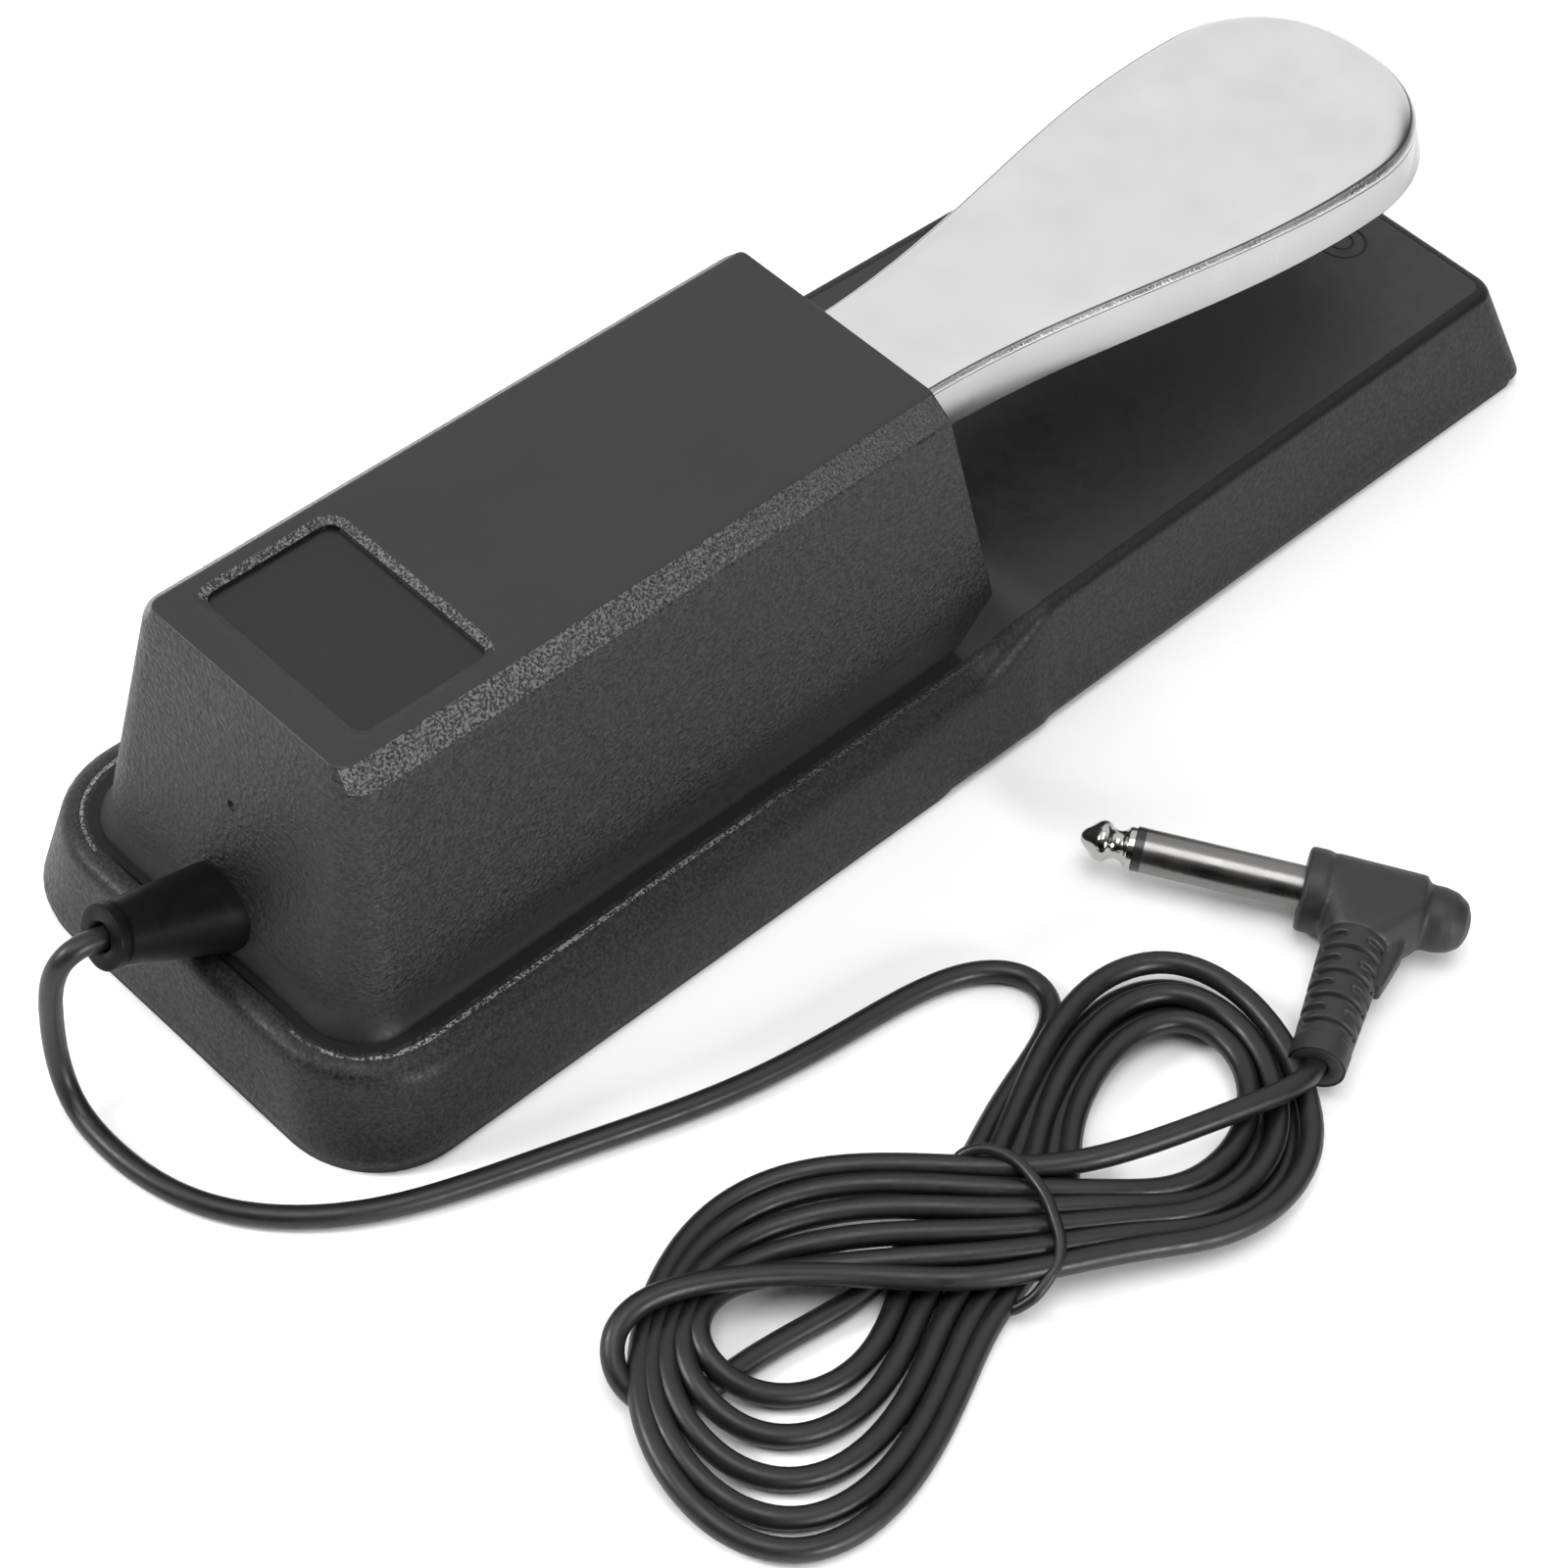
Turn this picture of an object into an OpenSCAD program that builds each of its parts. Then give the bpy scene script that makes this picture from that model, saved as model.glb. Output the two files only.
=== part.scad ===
// Sustain pedal for an electronic keyboard: a moulded housing, a chromed steel lever on a sprung
// pivot, a snap-action switch inside, and a jack lead tied in a figure-of-eight hank beside it.
// +X runs towards the pedal's tip and +Z is up. The origin is the bottom centre of the housing.

/* [Housing] */
// Length of the housing
base_l = 245; // [240:1:250]
// Width of the housing at its bottom edge
base_w = 76.4; // [75:0.2:78]
// Radius of the housing's rear corners at the bottom
corner_r = 15.2; // [13:0.2:17]
// Height of the rounded rim round the rear base
rim_h = 17; // [16:0.5:18]
// Height of the platform below the lever
platform_h = 22.8; // [22:0.2:23.4]
// Height of the hump
hump_h = 60.5; // [60:0.5:62]
// Length of the hump's flat top
hump_top_l = 105; // [104:0.5:106]
// Width of the hump's flat top
hump_top_w = 37; // [36:0.5:38]
// Wall thickness of the housing
wall = 2.5; // [2:0.1:2.8]

/* [Lever] */
// Height of the lever's top face
lever_z = 49.8; // [49.6:0.1:50]
// Thickness of the lever's steel sheet
lever_t = 1.8; // [1.5:0.1:2]
// Depth of the lever's folded edge
lever_deep = 7.5; // [7:0.1:8]
// Width of the lever's arm
arm_w = 21.6; // [21:0.1:22]
// Width of the lever's paddle
paddle_w = 41.4; // [38:0.2:42]
// Distance from the origin to the lever's tip
tip_x = 112; // [108:0.5:113]
// Angle that the lever turns when pressed
travel = 5.5; // [4:0.5:5.5]

/* [Pivot and spring] */
// Distance from the origin back to the pivot pin
pivot_back = 62; // [61:0.5:63]
// Height of the pivot pin
pivot_z = 42.5; // [42:0.1:43]
// Diameter of the pivot pin
pin_d = 5; // [4:0.1:5]
// Outer diameter of the return spring
spring_d = 12; // [11.4:0.1:12]
// Number of turns of the return spring
spring_turns = 8; // [6:1:10]

/* [Cord and plug] */
// Diameter of the cord
cord_d = 3.2; // [3:0.1:3.4]
// Diameter of the jack plug
jack_d = 6.35; // [6.3:0.01:6.4]
// Length of the jack plug from its shoulder to its tip
jack_l = 31.5; // [31:0.1:32]

/* [Hidden] */

fine = 64;      // sides of a round part
smooth_fn = 32; // sides of a rounded corner inside a hull
skin = 0.01;    // thickness of the discs that a hull spans
over = 1;       // how far a cut runs past the solid

// Stack of layers at the bottom
mat_t = 1.5;
plate_t = 1.8;
deck_z = mat_t + plate_t;

// Housing outline: level sections as [rear x, front x, half width, rear corner radius, height]
rear_x = -base_l / 2;
front_x = base_l / 2;
base_hw = base_w / 2;
ramp_x = -2;
step_x = 8;
rim_hw = base_hw - 3;
rim_rear = rear_x + 1.4;
platform_front = front_x - 10;
platform_drop = 0.9;
platform_corner = 4;
hump_rear = -110.3;
hump_front = hump_rear + hump_top_l;
hump_foot_z = 13;
hump_foot_hw = 28.2;
chamfer_drop = 3.8;
chamfer_w = 3.4;

// Label recess in the hump's top
recess_front = -81.4;
recess_l = 23.6;
recess_w = 32.6;
recess_r = 3;
recess_deep = 1.2;

// Screw posts: pairs at these x and half spacings, and the height they reach inside
post_pairs = [[-102, 28, 15], [-40, 30.5, 15], [40, 27, 21], [98, 25, 20.5]];
post_r = 3.4;
shell_screw_r = 1.45;

// Slot in the hump's front wall
slot_hw = 12.2;
slot_low = 35;
slot_high = 51.6;

// Lever plan
neck_x = 0;
wide_x = 88;
tail_x = -71;
tip_power = 2.3;
lever_under = lever_z - lever_t;
lever_bottom = lever_z - lever_deep;
pivot_x = -pivot_back;
ear_r = 7.2;
bush_r = 3.5;
running = 0.05;
cheek_in = 11.6;
cheek_t = 2;
foot_x = 8;
foot_y = 17.8;

// Spring, its post and the two stops
spring_x = -12;
wire_d = 1.2;
cap_r = 4;
post_top = 37.5;
function under_lever(x, a) = pivot_z + (lever_under - pivot_z - (x - pivot_x) * sin(a)) / cos(a);
cap_top = under_lever(spring_x + cap_r, travel) - 0.1;
pad_size = [10.6, 16, 3];
pad_gap = 0.15;

// Switch: body, hinge of its leaf and contact point of the leaf's tip
switch_size = [27.8, 10.3, 15.9];
switch_front = -22.2;
switch_top = 41;
switch_mid = switch_front - switch_size[0] / 2;
switch_low = switch_top - switch_size[2];
hinge_x = -48;
hinge_z = 42.2;
leaf_reach = 20;
leaf_rise = 4.3;
leaf_w = 4.4;
leaf_t = 0.35;
leaf_tip_r = 1.2;
plunger_x = -41;
plunger_size = [2, 2.6, 4.75];
plunger_top = 43.15;
screw_span = 22.2;
screw_up = 2.8;
bracket_y = switch_size[1] / 2 + 0.05;
bracket_l = 27.6;

// Boot through the rear wall: a point on its axis, its rise and its sideways turn
boot_root = [-113, 0, 21];
boot_rise = 18;
boot_turn = 6;
boot_l = 20.4;

// Route of the cord outside the housing, from the boot's end to the hank
lead_route = [
    [-132.3, 2, 27.3], [-134.6, 2.4, 26.6], [-136.4, 3, 23.6], [-137.4, 3.6, 19], [-138, 3.8, 13.6],
    [-138.6, 3.2, 8.5], [-139.4, 1.4, 4.6], [-140.2, -2, 2.4], [-140.5, -7.4, 1.6], [-140.2, -15.8, 1.6],
    [-137.4, -24.4, 1.6], [-131, -32.2, 1.6], [-122, -38.6, 1.6], [-111.4, -42.8, 1.6], [-96, -47.6, 1.6],
    [-81, -53, 1.6], [-67.8, -56.2, 1.6], [-54, -58, 1.6], [-44.2, -59.4, 1.6], [-36.6, -62, 1.6],
    [-32, -66, 1.6], [-30.6, -70.8, 1.6], [-32.4, -75.4, 1.6], [-36, -78.6, 1.6]
];
// Route of the cord from the hank to the plug's strain relief
tail_route = [[-19.5, -104.8, 7], [-17.4, -105.8, 6.7], [-15.6, -106.5, 6.3], [-13.9, -106.85, 6.05]];

// Hank: lobes as [x, y, radius] and the waist where the tie goes round it
rear_lobe = [-101.5, -91.5, 22.5];
front_lobe = [-36.5, -97.2, 20.2];
waist = [-60, -94.5, 9.6];
hank_h = 7.8;
tie_d = 1.2;

// Route of the cord and its cores inside the housing
inner_route = [
    [-109.2, -0.4, 19.8], [-106.4, -0.6, 18.6], [-104, -0.5, 16], [-102.6, -0.3, 12.8], [-101.4, -0.1, 9.6],
    [-99.6, 0, 6.8], [-97.2, 0, 5.2], [-94, 0, 5], [-90, 0, 5], [-86, 0, 5]
];
core_d = 1.3;
saddle_x = -94;
saddle_y = 6.5;
signal_route = [
    [-86, 0.8, 5], [-81.5, 1.6, 5.8], [-75.5, 2, 8], [-64, 2, 9], [-54, 1.6, 9.6], [-48, 0.6, 12],
    [-46.6, 0, 17.1]
];
ground_route = [
    [-86, -0.8, 5], [-81.5, -1.6, 5.8], [-75.5, -2, 8], [-64, -2, 9], [-50, -1.8, 9.4], [-39, -0.6, 12],
    [-36.1, 0, 17.1]
];

// Plug: centre of its shoulder, heading of its tip, and heading and droop of its strain relief
shoulder = [8.4, -85.2, 6.2];
plug_heading = 121.8;
relief_heading = 206.4;
relief_back = 9.5;
relief_start = 8.5;
relief_l = 22.2;
relief_droop = 0.4;
ring_from = 22.6;
ring_l = 1.3;

// ---------------------------------------------------------------- helpers

function unit(v) = v / norm(v);
function curve_point(a, b, c, d, t) =
    0.5 * (2 * b + (c - a) * t + (2 * a - 5 * b + 4 * c - d) * t * t + (3 * b - a - 3 * c + d) * t * t * t);

// The route's points joined by a smooth curve, with a number of steps in each stretch
function smooth_route(p, steps) = concat(
    [for (i = [0 : len(p) - 2]) for (j = [0 : steps - 1])
        curve_point(p[max(i - 1, 0)], p[i], p[i + 1], p[min(i + 2, len(p) - 1)], j / steps)],
    [p[len(p) - 1]]
);
function tangents(p) = [for (i = [0 : len(p) - 1]) unit(p[min(i + 1, len(p) - 1)] - p[max(i - 1, 0)])];
function square_to(n, t) = unit(n - (n * t) * t);
function side_vectors(t) = [
    for (i = 0, n = square_to([0.3, 0.2, 1], t[0]);
         i < len(t);
         i = i + 1, n = square_to(n, t[min(i, len(t) - 1)])) n
];

// A round tube along a list of points
module tube(p, d, sides) {
    t = tangents(p);
    n = side_vectors(t);
    last = len(p) - 1;
    points = [for (i = [0 : last]) for (j = [0 : sides - 1])
        p[i] + d / 2 * (cos(360 * j / sides) * n[i] + sin(360 * j / sides) * cross(t[i], n[i]))];
    walls = [for (i = [0 : last - 1]) for (j = [0 : sides - 1])
        [i * sides + j, (i + 1) * sides + j, (i + 1) * sides + (j + 1) % sides, i * sides + (j + 1) % sides]];
    start_cap = [[for (j = [0 : sides - 1]) j]];
    end_cap = [[for (j = [sides - 1 : -1 : 0]) last * sides + j]];
    polyhedron(points = points, faces = concat(walls, start_cap, end_cap));
}

module ring(r_out, r_in, h) {
    difference() {
        cylinder(r = r_out, h = h, $fn = fine);
        translate([0, 0, -over]) cylinder(r = r_in, h = h + 2 * over, $fn = fine);
    }
}

// A screw with its head's underside at z = 0 and its shank pointing down
module screw(r, head_r, head_h, length) {
    cylinder(r = head_r, h = head_h, $fn = fine);
    translate([0, 0, -length]) cylinder(r = r, h = length, $fn = fine);
}

module rounded_plate(x0, x1, hw, r, h) {
    linear_extrude(h) {
        translate([x0 + r, -hw]) square([x1 - x0 - 2 * r, 2 * hw]);
        translate([x0, -hw + r]) square([x1 - x0, 2 * (hw - r)]);
        for (x = [x0 + r, x1 - r], y = [-hw + r, hw - r]) translate([x, y]) circle(r = r, $fn = fine);
    }
}

// Four thin discs at the corners of a level outline, which a hull spans
module corners(x0, x1, hw0, hw1, r0, r1, z0, z1) {
    for (side = [-1, 1]) {
        translate([x0 + r0, side * (hw0 - r0), z0 - skin]) cylinder(r = r0, h = skin, $fn = smooth_fn);
        translate([x1 - r1, side * (hw1 - r1), z1 - skin]) cylinder(r = r1, h = skin, $fn = smooth_fn);
    }
}

module at_posts(z) {
    for (p = post_pairs, side = [-1, 1]) translate([p[0], side * p[1], z]) children();
}

module along_boot() {
    translate(boot_root) rotate([0, 90 - boot_rise, 180 - boot_turn]) children();
}

module along_plug() {
    translate(shoulder) rotate([0, 90, plug_heading]) children();
}

// The strain relief's frame: +Z runs from the plug's axis out along the cord
module along_relief() {
    translate(shoulder) rotate([0, 0, plug_heading]) translate([-relief_back, 0, 0])
        rotate([0, 0, relief_heading - plug_heading]) rotate([0, 90 + relief_droop, 0]) children();
}

// ---------------------------------------------------------------- housing

// The housing's outer form, shrunk all round by t and starting at height low
module housing_form(t, low) {
    hull() {
        corners(rear_x + t, step_x - t, base_hw - t, base_hw - t, corner_r - t, 0.5, low + skin, low + skin);
        corners(rim_rear + t, step_x - t, rim_hw - t, rim_hw - t, corner_r + 1 - t, 0.5,
            rim_h - t, rim_h - t);
    }
    hull() {
        corners(ramp_x + t, front_x - t, base_hw - 0.6 - t, base_hw - 1.6 - t, 0.5, platform_corner,
            low + skin, low + skin);
        corners(ramp_x + t, platform_front - t, rim_hw - 0.4 - t, rim_hw - 2.4 - t, 0.5, platform_corner,
            rim_h - t, rim_h - t);
        corners(step_x + t, platform_front - t, base_hw - 3.5 - t, base_hw - 5.5 - t, 0.5, platform_corner,
            platform_h - t, platform_h - platform_drop - t);
    }
    hump_low = t > 0 ? low + skin : hump_foot_z;
    hull() {
        corners(hump_rear - 5.5 + t, hump_front + 12.2 - t, hump_foot_hw - t, hump_foot_hw - t, 8.5, 0.5,
            hump_low, hump_low);
        corners(hump_rear - 0.5 + t, hump_front + 1 - t, hump_top_w / 2 + chamfer_w - t,
            hump_top_w / 2 + chamfer_w - t, 5, 0.5, hump_h - chamfer_drop - t, hump_h - chamfer_drop - t);
        corners(hump_rear + t, hump_front - t, hump_top_w / 2 - t / 2, hump_top_w / 2 - t / 2, 2, 0.5,
            hump_h - t, hump_h - t);
    }
}

module upper_shell() {
    color([0.07, 0.07, 0.075]) difference() {
        union() {
            difference() {
                housing_form(0, mat_t);
                housing_form(wall, mat_t - over);
            }
            for (p = post_pairs, side = [-1, 1])
                translate([p[0], side * p[1], deck_z]) cylinder(r = post_r, h = p[2] - deck_z, $fn = fine);
            translate([spring_x - pad_size[0] / 2, -pad_size[1] / 2, lever_z + pad_gap + pad_size[2]])
                cube([pad_size[0], pad_size[1], hump_h - wall / 2 - lever_z - pad_gap - pad_size[2]]);
        }
        at_posts(0) cylinder(r = shell_screw_r + 0.05, h = mat_t + 12, $fn = fine);
        translate([hump_front - 6, -slot_hw, slot_low]) cube([18, 2 * slot_hw, slot_high - slot_low]);
        translate([0, 0, hump_h - recess_deep])
            rounded_plate(recess_front - recess_l, recess_front, recess_w / 2, recess_r, recess_deep + over);
        along_boot() translate([0, 0, -6]) cylinder(r = 5.15, h = 14, $fn = fine);
    }
}

module base_plate() {
    color([0.45, 0.46, 0.48]) difference() {
        translate([0, 0, mat_t]) union() {
            rounded_plate(rear_x + wall + 0.6, 0, base_hw - wall - 0.6, corner_r - wall, plate_t);
            rounded_plate(-20, front_x - wall - 2, base_hw - wall - 3, platform_corner, plate_t);
        }
        at_posts(0) cylinder(r = 1.7, h = 2 * deck_z, $fn = fine);
        for (x = [pivot_x - foot_x, pivot_x + foot_x], y = [-foot_y, foot_y])
            translate([x, y, 0]) cylinder(r = 2.05, h = 2 * deck_z, $fn = fine);
        for (x = [switch_mid - 7, switch_mid + 7])
            translate([x, 12, 0]) cylinder(r = 1.55, h = 2 * deck_z, $fn = fine);
        for (y = [-saddle_y, saddle_y])
            translate([saddle_x, y, 0]) cylinder(r = 1.3, h = 2 * deck_z, $fn = fine);
    }
}

module rubber_mat() {
    color([0.05, 0.05, 0.05]) difference() {
        union() {
            rounded_plate(rear_x + 0.5, 0, base_hw - 0.6, corner_r - 0.5, mat_t);
            rounded_plate(-20, front_x - 1, base_hw - 1.9, platform_corner, mat_t);
        }
        at_posts(-over) cylinder(r = 3.4, h = mat_t + 2 * over, $fn = fine);
    }
}

module shell_screws() {
    color([0.6, 0.6, 0.62]) at_posts(mat_t) rotate([180, 0, 0]) screw(shell_screw_r, 3, 1.2, 11);
}

// ---------------------------------------------------------------- pivot

module pivot_bracket() {
    color([0.62, 0.63, 0.66]) difference() {
        union() {
            translate([pivot_x - 12, -21, deck_z]) cube([24, 42, 2]);
            for (side = [-1, 1]) translate([pivot_x, side * (cheek_in + cheek_t / 2), 0]) rotate([90, 0, 0]) {
                linear_extrude(cheek_t, center = true)
                    polygon([[-12, deck_z], [12, deck_z], [6.5, pivot_z], [-6.5, pivot_z]]);
                translate([0, pivot_z, 0]) cylinder(r = 6.5, h = cheek_t, center = true, $fn = fine);
            }
        }
        translate([pivot_x, 0, pivot_z]) rotate([90, 0, 0])
            cylinder(r = pin_d / 2 + 0.02, h = 40, center = true, $fn = fine);
        for (x = [-foot_x, foot_x], y = [-foot_y, foot_y])
            translate([pivot_x + x, y, 0]) cylinder(r = 2.1, h = 10, $fn = fine);
    }
}

module bracket_screws() {
    color([0.75, 0.75, 0.78]) for (x = [-foot_x, foot_x], y = [-foot_y, foot_y])
        translate([pivot_x + x, y, deck_z + 2]) screw(2, 3.6, 2.2, plate_t + 1.9);
}

module pivot_pin() {
    color([0.8, 0.8, 0.82]) translate([pivot_x, 0, pivot_z]) rotate([90, 0, 0]) {
        cylinder(r = pin_d / 2, h = 27.5, center = true, $fn = fine);
        cylinder(r = pin_d / 2 - 0.4, h = 30, center = true, $fn = fine);
        for (side = [-1, 1])
            translate([0, 0, side * 15]) cylinder(r = pin_d / 2, h = 1, center = true, $fn = fine);
    }
}

module pin_clips() {
    color([0.3, 0.3, 0.32]) for (side = [-1, 1])
        translate([pivot_x, side * 14.15, pivot_z]) rotate([90, 0, 0]) difference() {
            translate([0, 0, -0.3]) ring(4.6, pin_d / 2 - 0.35, 0.6);
            translate([-1.6, -6, -1]) cube([3.2, 6, 2]);
        }
}

// ---------------------------------------------------------------- lever

function lever_side(inset) = concat(
    [for (x = [neck_x : 8 : wide_x - 8])
        [x, arm_w / 2 - inset + (paddle_w - arm_w) / 4 * (1 - cos(180 * (x - neck_x) / (wide_x - neck_x)))]],
    [for (a = [0 : 6 : 90])
        [wide_x + (tip_x - inset - wide_x) * pow(sin(a), 2 / tip_power),
         (paddle_w / 2 - inset) * pow(cos(a), 2 / tip_power)]]
);

module lever_plan(inset, tail) {
    side = concat([[tail, arm_w / 2 - inset]], lever_side(inset));
    polygon(concat(side, [for (i = [len(side) - 2 : -1 : 0]) [side[i][0], -side[i][1]]]));
}

module pedal_lever() {
    color([0.85, 0.85, 0.86]) difference() {
        union() {
            translate([0, 0, lever_bottom]) linear_extrude(lever_deep) lever_plan(0, tail_x);
            for (side = [-1, 1])
                translate([pivot_x, side * (arm_w - lever_t) / 2, pivot_z]) rotate([90, 0, 0])
                    cylinder(r = ear_r, h = lever_t, center = true, $fn = fine);
        }
        translate([0, 0, lever_bottom - over])
            linear_extrude(lever_deep - lever_t + over) lever_plan(lever_t, tail_x - over);
        translate([pivot_x, 0, pivot_z]) rotate([90, 0, 0])
            cylinder(r = bush_r + 0.02, h = arm_w + 2, center = true, $fn = fine);
    }
}

module bush(side) {
    color([0.9, 0.89, 0.84]) translate([pivot_x, side * (arm_w / 2 - lever_t), pivot_z])
        rotate([-90 * side, 0, 0]) {
            ring(bush_r, pin_d / 2 + running, lever_t + 0.1);
            translate([0, 0, lever_t + 0.05]) ring(5, pin_d / 2 + running, 0.5);
        }
}

// ---------------------------------------------------------------- spring and stops

module return_spring() {
    r = (spring_d - wire_d) / 2;
    low = deck_z + 2 + wire_d / 2;
    high = lever_under - 0.1 - wire_d / 2;
    steps = 14 * spring_turns;
    coil = [for (i = [0 : steps])
        [spring_x + r * cos(360 * i / 14), r * sin(360 * i / 14), low + (high - low) * i / steps]];
    color([0.7, 0.7, 0.72]) tube(coil, wire_d, 6);
}

module spring_post() {
    color([0.86, 0.86, 0.82]) translate([spring_x, 0, deck_z]) {
        cylinder(r = 8, h = 2, $fn = fine);
        cylinder(r = 3.4, h = 30, $fn = fine);
        cylinder(r = 2.4, h = post_top - deck_z, $fn = fine);
    }
}

module downstop_cap() {
    low = deck_z + 30;
    color([0.12, 0.12, 0.12]) translate([spring_x, 0, low]) difference() {
        cylinder(r = cap_r, h = cap_top - low, $fn = fine);
        translate([0, 0, -over]) cylinder(r = 2.4, h = post_top - low + over, $fn = fine);
    }
}

module upstop_pad() {
    color([0.25, 0.25, 0.27]) translate([spring_x - pad_size[0] / 2, -pad_size[1] / 2, lever_z + pad_gap])
        cube(pad_size);
}

// ---------------------------------------------------------------- switch

module at_switch_holes() {
    for (x = [-screw_span / 2, screw_span / 2])
        translate([switch_mid + x, 0, switch_low + screw_up]) rotate([90, 0, 0]) children();
}

module switch_body() {
    color([0.13, 0.13, 0.14]) difference() {
        union() {
            translate([switch_front - switch_size[0], -switch_size[1] / 2, switch_low]) cube(switch_size);
            translate([hinge_x - 1.5, -3.5, switch_top - over])
                cube([3, 7, hinge_z - switch_top + over + 1.1]);
        }
        translate([hinge_x - 2, -2.6, switch_top]) cube([4, 5.2, 4]);
        translate([hinge_x, 0, hinge_z]) rotate([90, 0, 0])
            cylinder(r = 0.45, h = 9, center = true, $fn = fine);
        translate([plunger_x - 1.15, -1.45, switch_top - 3.8]) cube([2.3, 2.9, 4.8]);
        at_switch_holes() cylinder(r = 1.55, h = 20, center = true, $fn = fine);
    }
}

module switch_leaf() {
    color([0.8, 0.8, 0.83]) translate([hinge_x, 0, hinge_z]) {
        rotate([90, 0, 0]) cylinder(r = 0.8, h = leaf_w, center = true, $fn = fine);
        rotate([90, 0, 0]) cylinder(r = 0.4, h = 6.8, center = true, $fn = fine);
        rotate([0, -atan(leaf_rise / leaf_reach), 0]) {
            translate([0, -leaf_w / 2, -leaf_t / 2]) cube([norm([leaf_reach, leaf_rise]), leaf_w, leaf_t]);
            translate([norm([leaf_reach, leaf_rise]), 0, 0]) rotate([90, 0, 0])
                cylinder(r = leaf_tip_r, h = leaf_w, center = true, $fn = fine);
        }
    }
}

module switch_plunger() {
    color([0.75, 0.15, 0.12]) translate([plunger_x, 0, plunger_top - plunger_size[2] / 2])
        cube(plunger_size, center = true);
}

module switch_terminals() {
    color([0.78, 0.7, 0.5]) for (x = [-10.5, 0, 10.5])
        translate([switch_mid + x, 0, switch_low - 4]) difference() {
            cube([0.8, 4.8, 8], center = true);
            translate([0, 0, -2]) rotate([0, 90, 0]) cylinder(r = 0.8, h = 3, center = true, $fn = fine);
        }
}

module switch_screws() {
    color([0.75, 0.75, 0.78]) for (x = [-screw_span / 2, screw_span / 2])
        translate([switch_mid + x, -switch_size[1] / 2, switch_low + screw_up]) rotate([90, 0, 0])
            screw(1.5, 2.7, 1.9, 15);
}

module switch_nuts() {
    color([0.75, 0.75, 0.78]) for (x = [-screw_span / 2, screw_span / 2])
        translate([switch_mid + x, bracket_y + 1.5, switch_low + screw_up]) rotate([-90, 0, 0]) difference() {
            cylinder(r = 3.1, h = 2.3, $fn = 6);
            translate([0, 0, -over]) cylinder(r = 1.52, h = 5, $fn = fine);
        }
}

module switch_bracket() {
    color([0.62, 0.63, 0.66]) difference() {
        union() {
            translate([switch_mid - bracket_l / 2, bracket_y, deck_z]) cube([bracket_l, 1.5, 30]);
            translate([switch_mid - bracket_l / 2, bracket_y, deck_z]) cube([bracket_l, 12, 1.5]);
        }
        at_switch_holes() cylinder(r = 1.55, h = 30, center = true, $fn = fine);
        for (x = [-7, 7]) translate([switch_mid + x, 12, 0]) cylinder(r = 1.6, h = 10, $fn = fine);
    }
}

module switch_bracket_screws() {
    color([0.75, 0.75, 0.78]) for (x = [-7, 7])
        translate([switch_mid + x, 12, deck_z + 1.5]) screw(1.5, 2.8, 1.8, plate_t + 1.4);
}

// ---------------------------------------------------------------- cord inside the housing

module inner_cord() {
    color([0.06, 0.06, 0.06]) tube(smooth_route(inner_route, 2), cord_d, 8);
}

module cord_saddle() {
    color([0.9, 0.9, 0.88]) translate([saddle_x, 0, deck_z]) difference() {
        union() {
            translate([-3, -9.5, 0]) cube([6, 19, 1.6]);
            translate([0, 0, 1.7]) rotate([0, 90, 0]) cylinder(r = 3.6, h = 6, center = true, $fn = fine);
        }
        translate([-5, -12, -8]) cube([10, 24, 8]);
        translate([0, 0, 1.7]) rotate([0, 90, 0])
            cylinder(r = cord_d / 2 + 0.15, h = 8, center = true, $fn = fine);
        translate([-5, -cord_d / 2 - 0.15, -over]) cube([10, cord_d + 0.3, 1.7 + over]);
        for (y = [-saddle_y, saddle_y]) translate([0, y, -over]) cylinder(r = 1.35, h = 5, $fn = fine);
    }
}

module saddle_screws() {
    color([0.75, 0.75, 0.78]) for (y = [-saddle_y, saddle_y])
        translate([saddle_x, y, deck_z + 1.6]) screw(1.25, 2.4, 1.5, plate_t + 1.5);
}

module signal_wire() {
    color([0.7, 0.12, 0.1]) tube(smooth_route(signal_route, 3), core_d, 6);
}

module ground_wire() {
    color([0.85, 0.85, 0.82]) tube(smooth_route(ground_route, 3), core_d, 6);
}

// ---------------------------------------------------------------- cord outside the housing

module cord_boot() {
    color([0.06, 0.06, 0.06]) along_boot() difference() {
        union() {
            translate([0, 0, -4]) cylinder(r = 7, h = 2, $fn = fine);
            translate([0, 0, -3]) cylinder(r = 5, h = 7, $fn = fine);
            translate([0, 0, 3.5]) cylinder(r1 = 5.8, r2 = 4.2, h = boot_l - 5, $fn = fine);
            translate([0, 0, boot_l - 1.8]) cylinder(r = 4.5, h = 1.8, $fn = fine);
        }
        translate([0, 0, -over - 4]) cylinder(r = cord_d / 2 + 0.02, h = boot_l + 4, $fn = fine);
    }
}

module cord_lead() {
    color([0.06, 0.06, 0.06]) tube(smooth_route(lead_route, 2), cord_d, 8);
}

module cord_tail() {
    color([0.06, 0.06, 0.06]) tube(smooth_route(tail_route, 2), cord_d, 8);
}

module cord_hank() {
    color([0.06, 0.06, 0.06]) linear_extrude(hank_h) for (lobe = [rear_lobe, front_lobe]) hull() {
        translate([lobe[0], lobe[1]]) circle(r = lobe[2], $fn = smooth_fn);
        translate([waist[0], waist[1]]) circle(r = waist[2], $fn = smooth_fn);
    }
}

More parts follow.
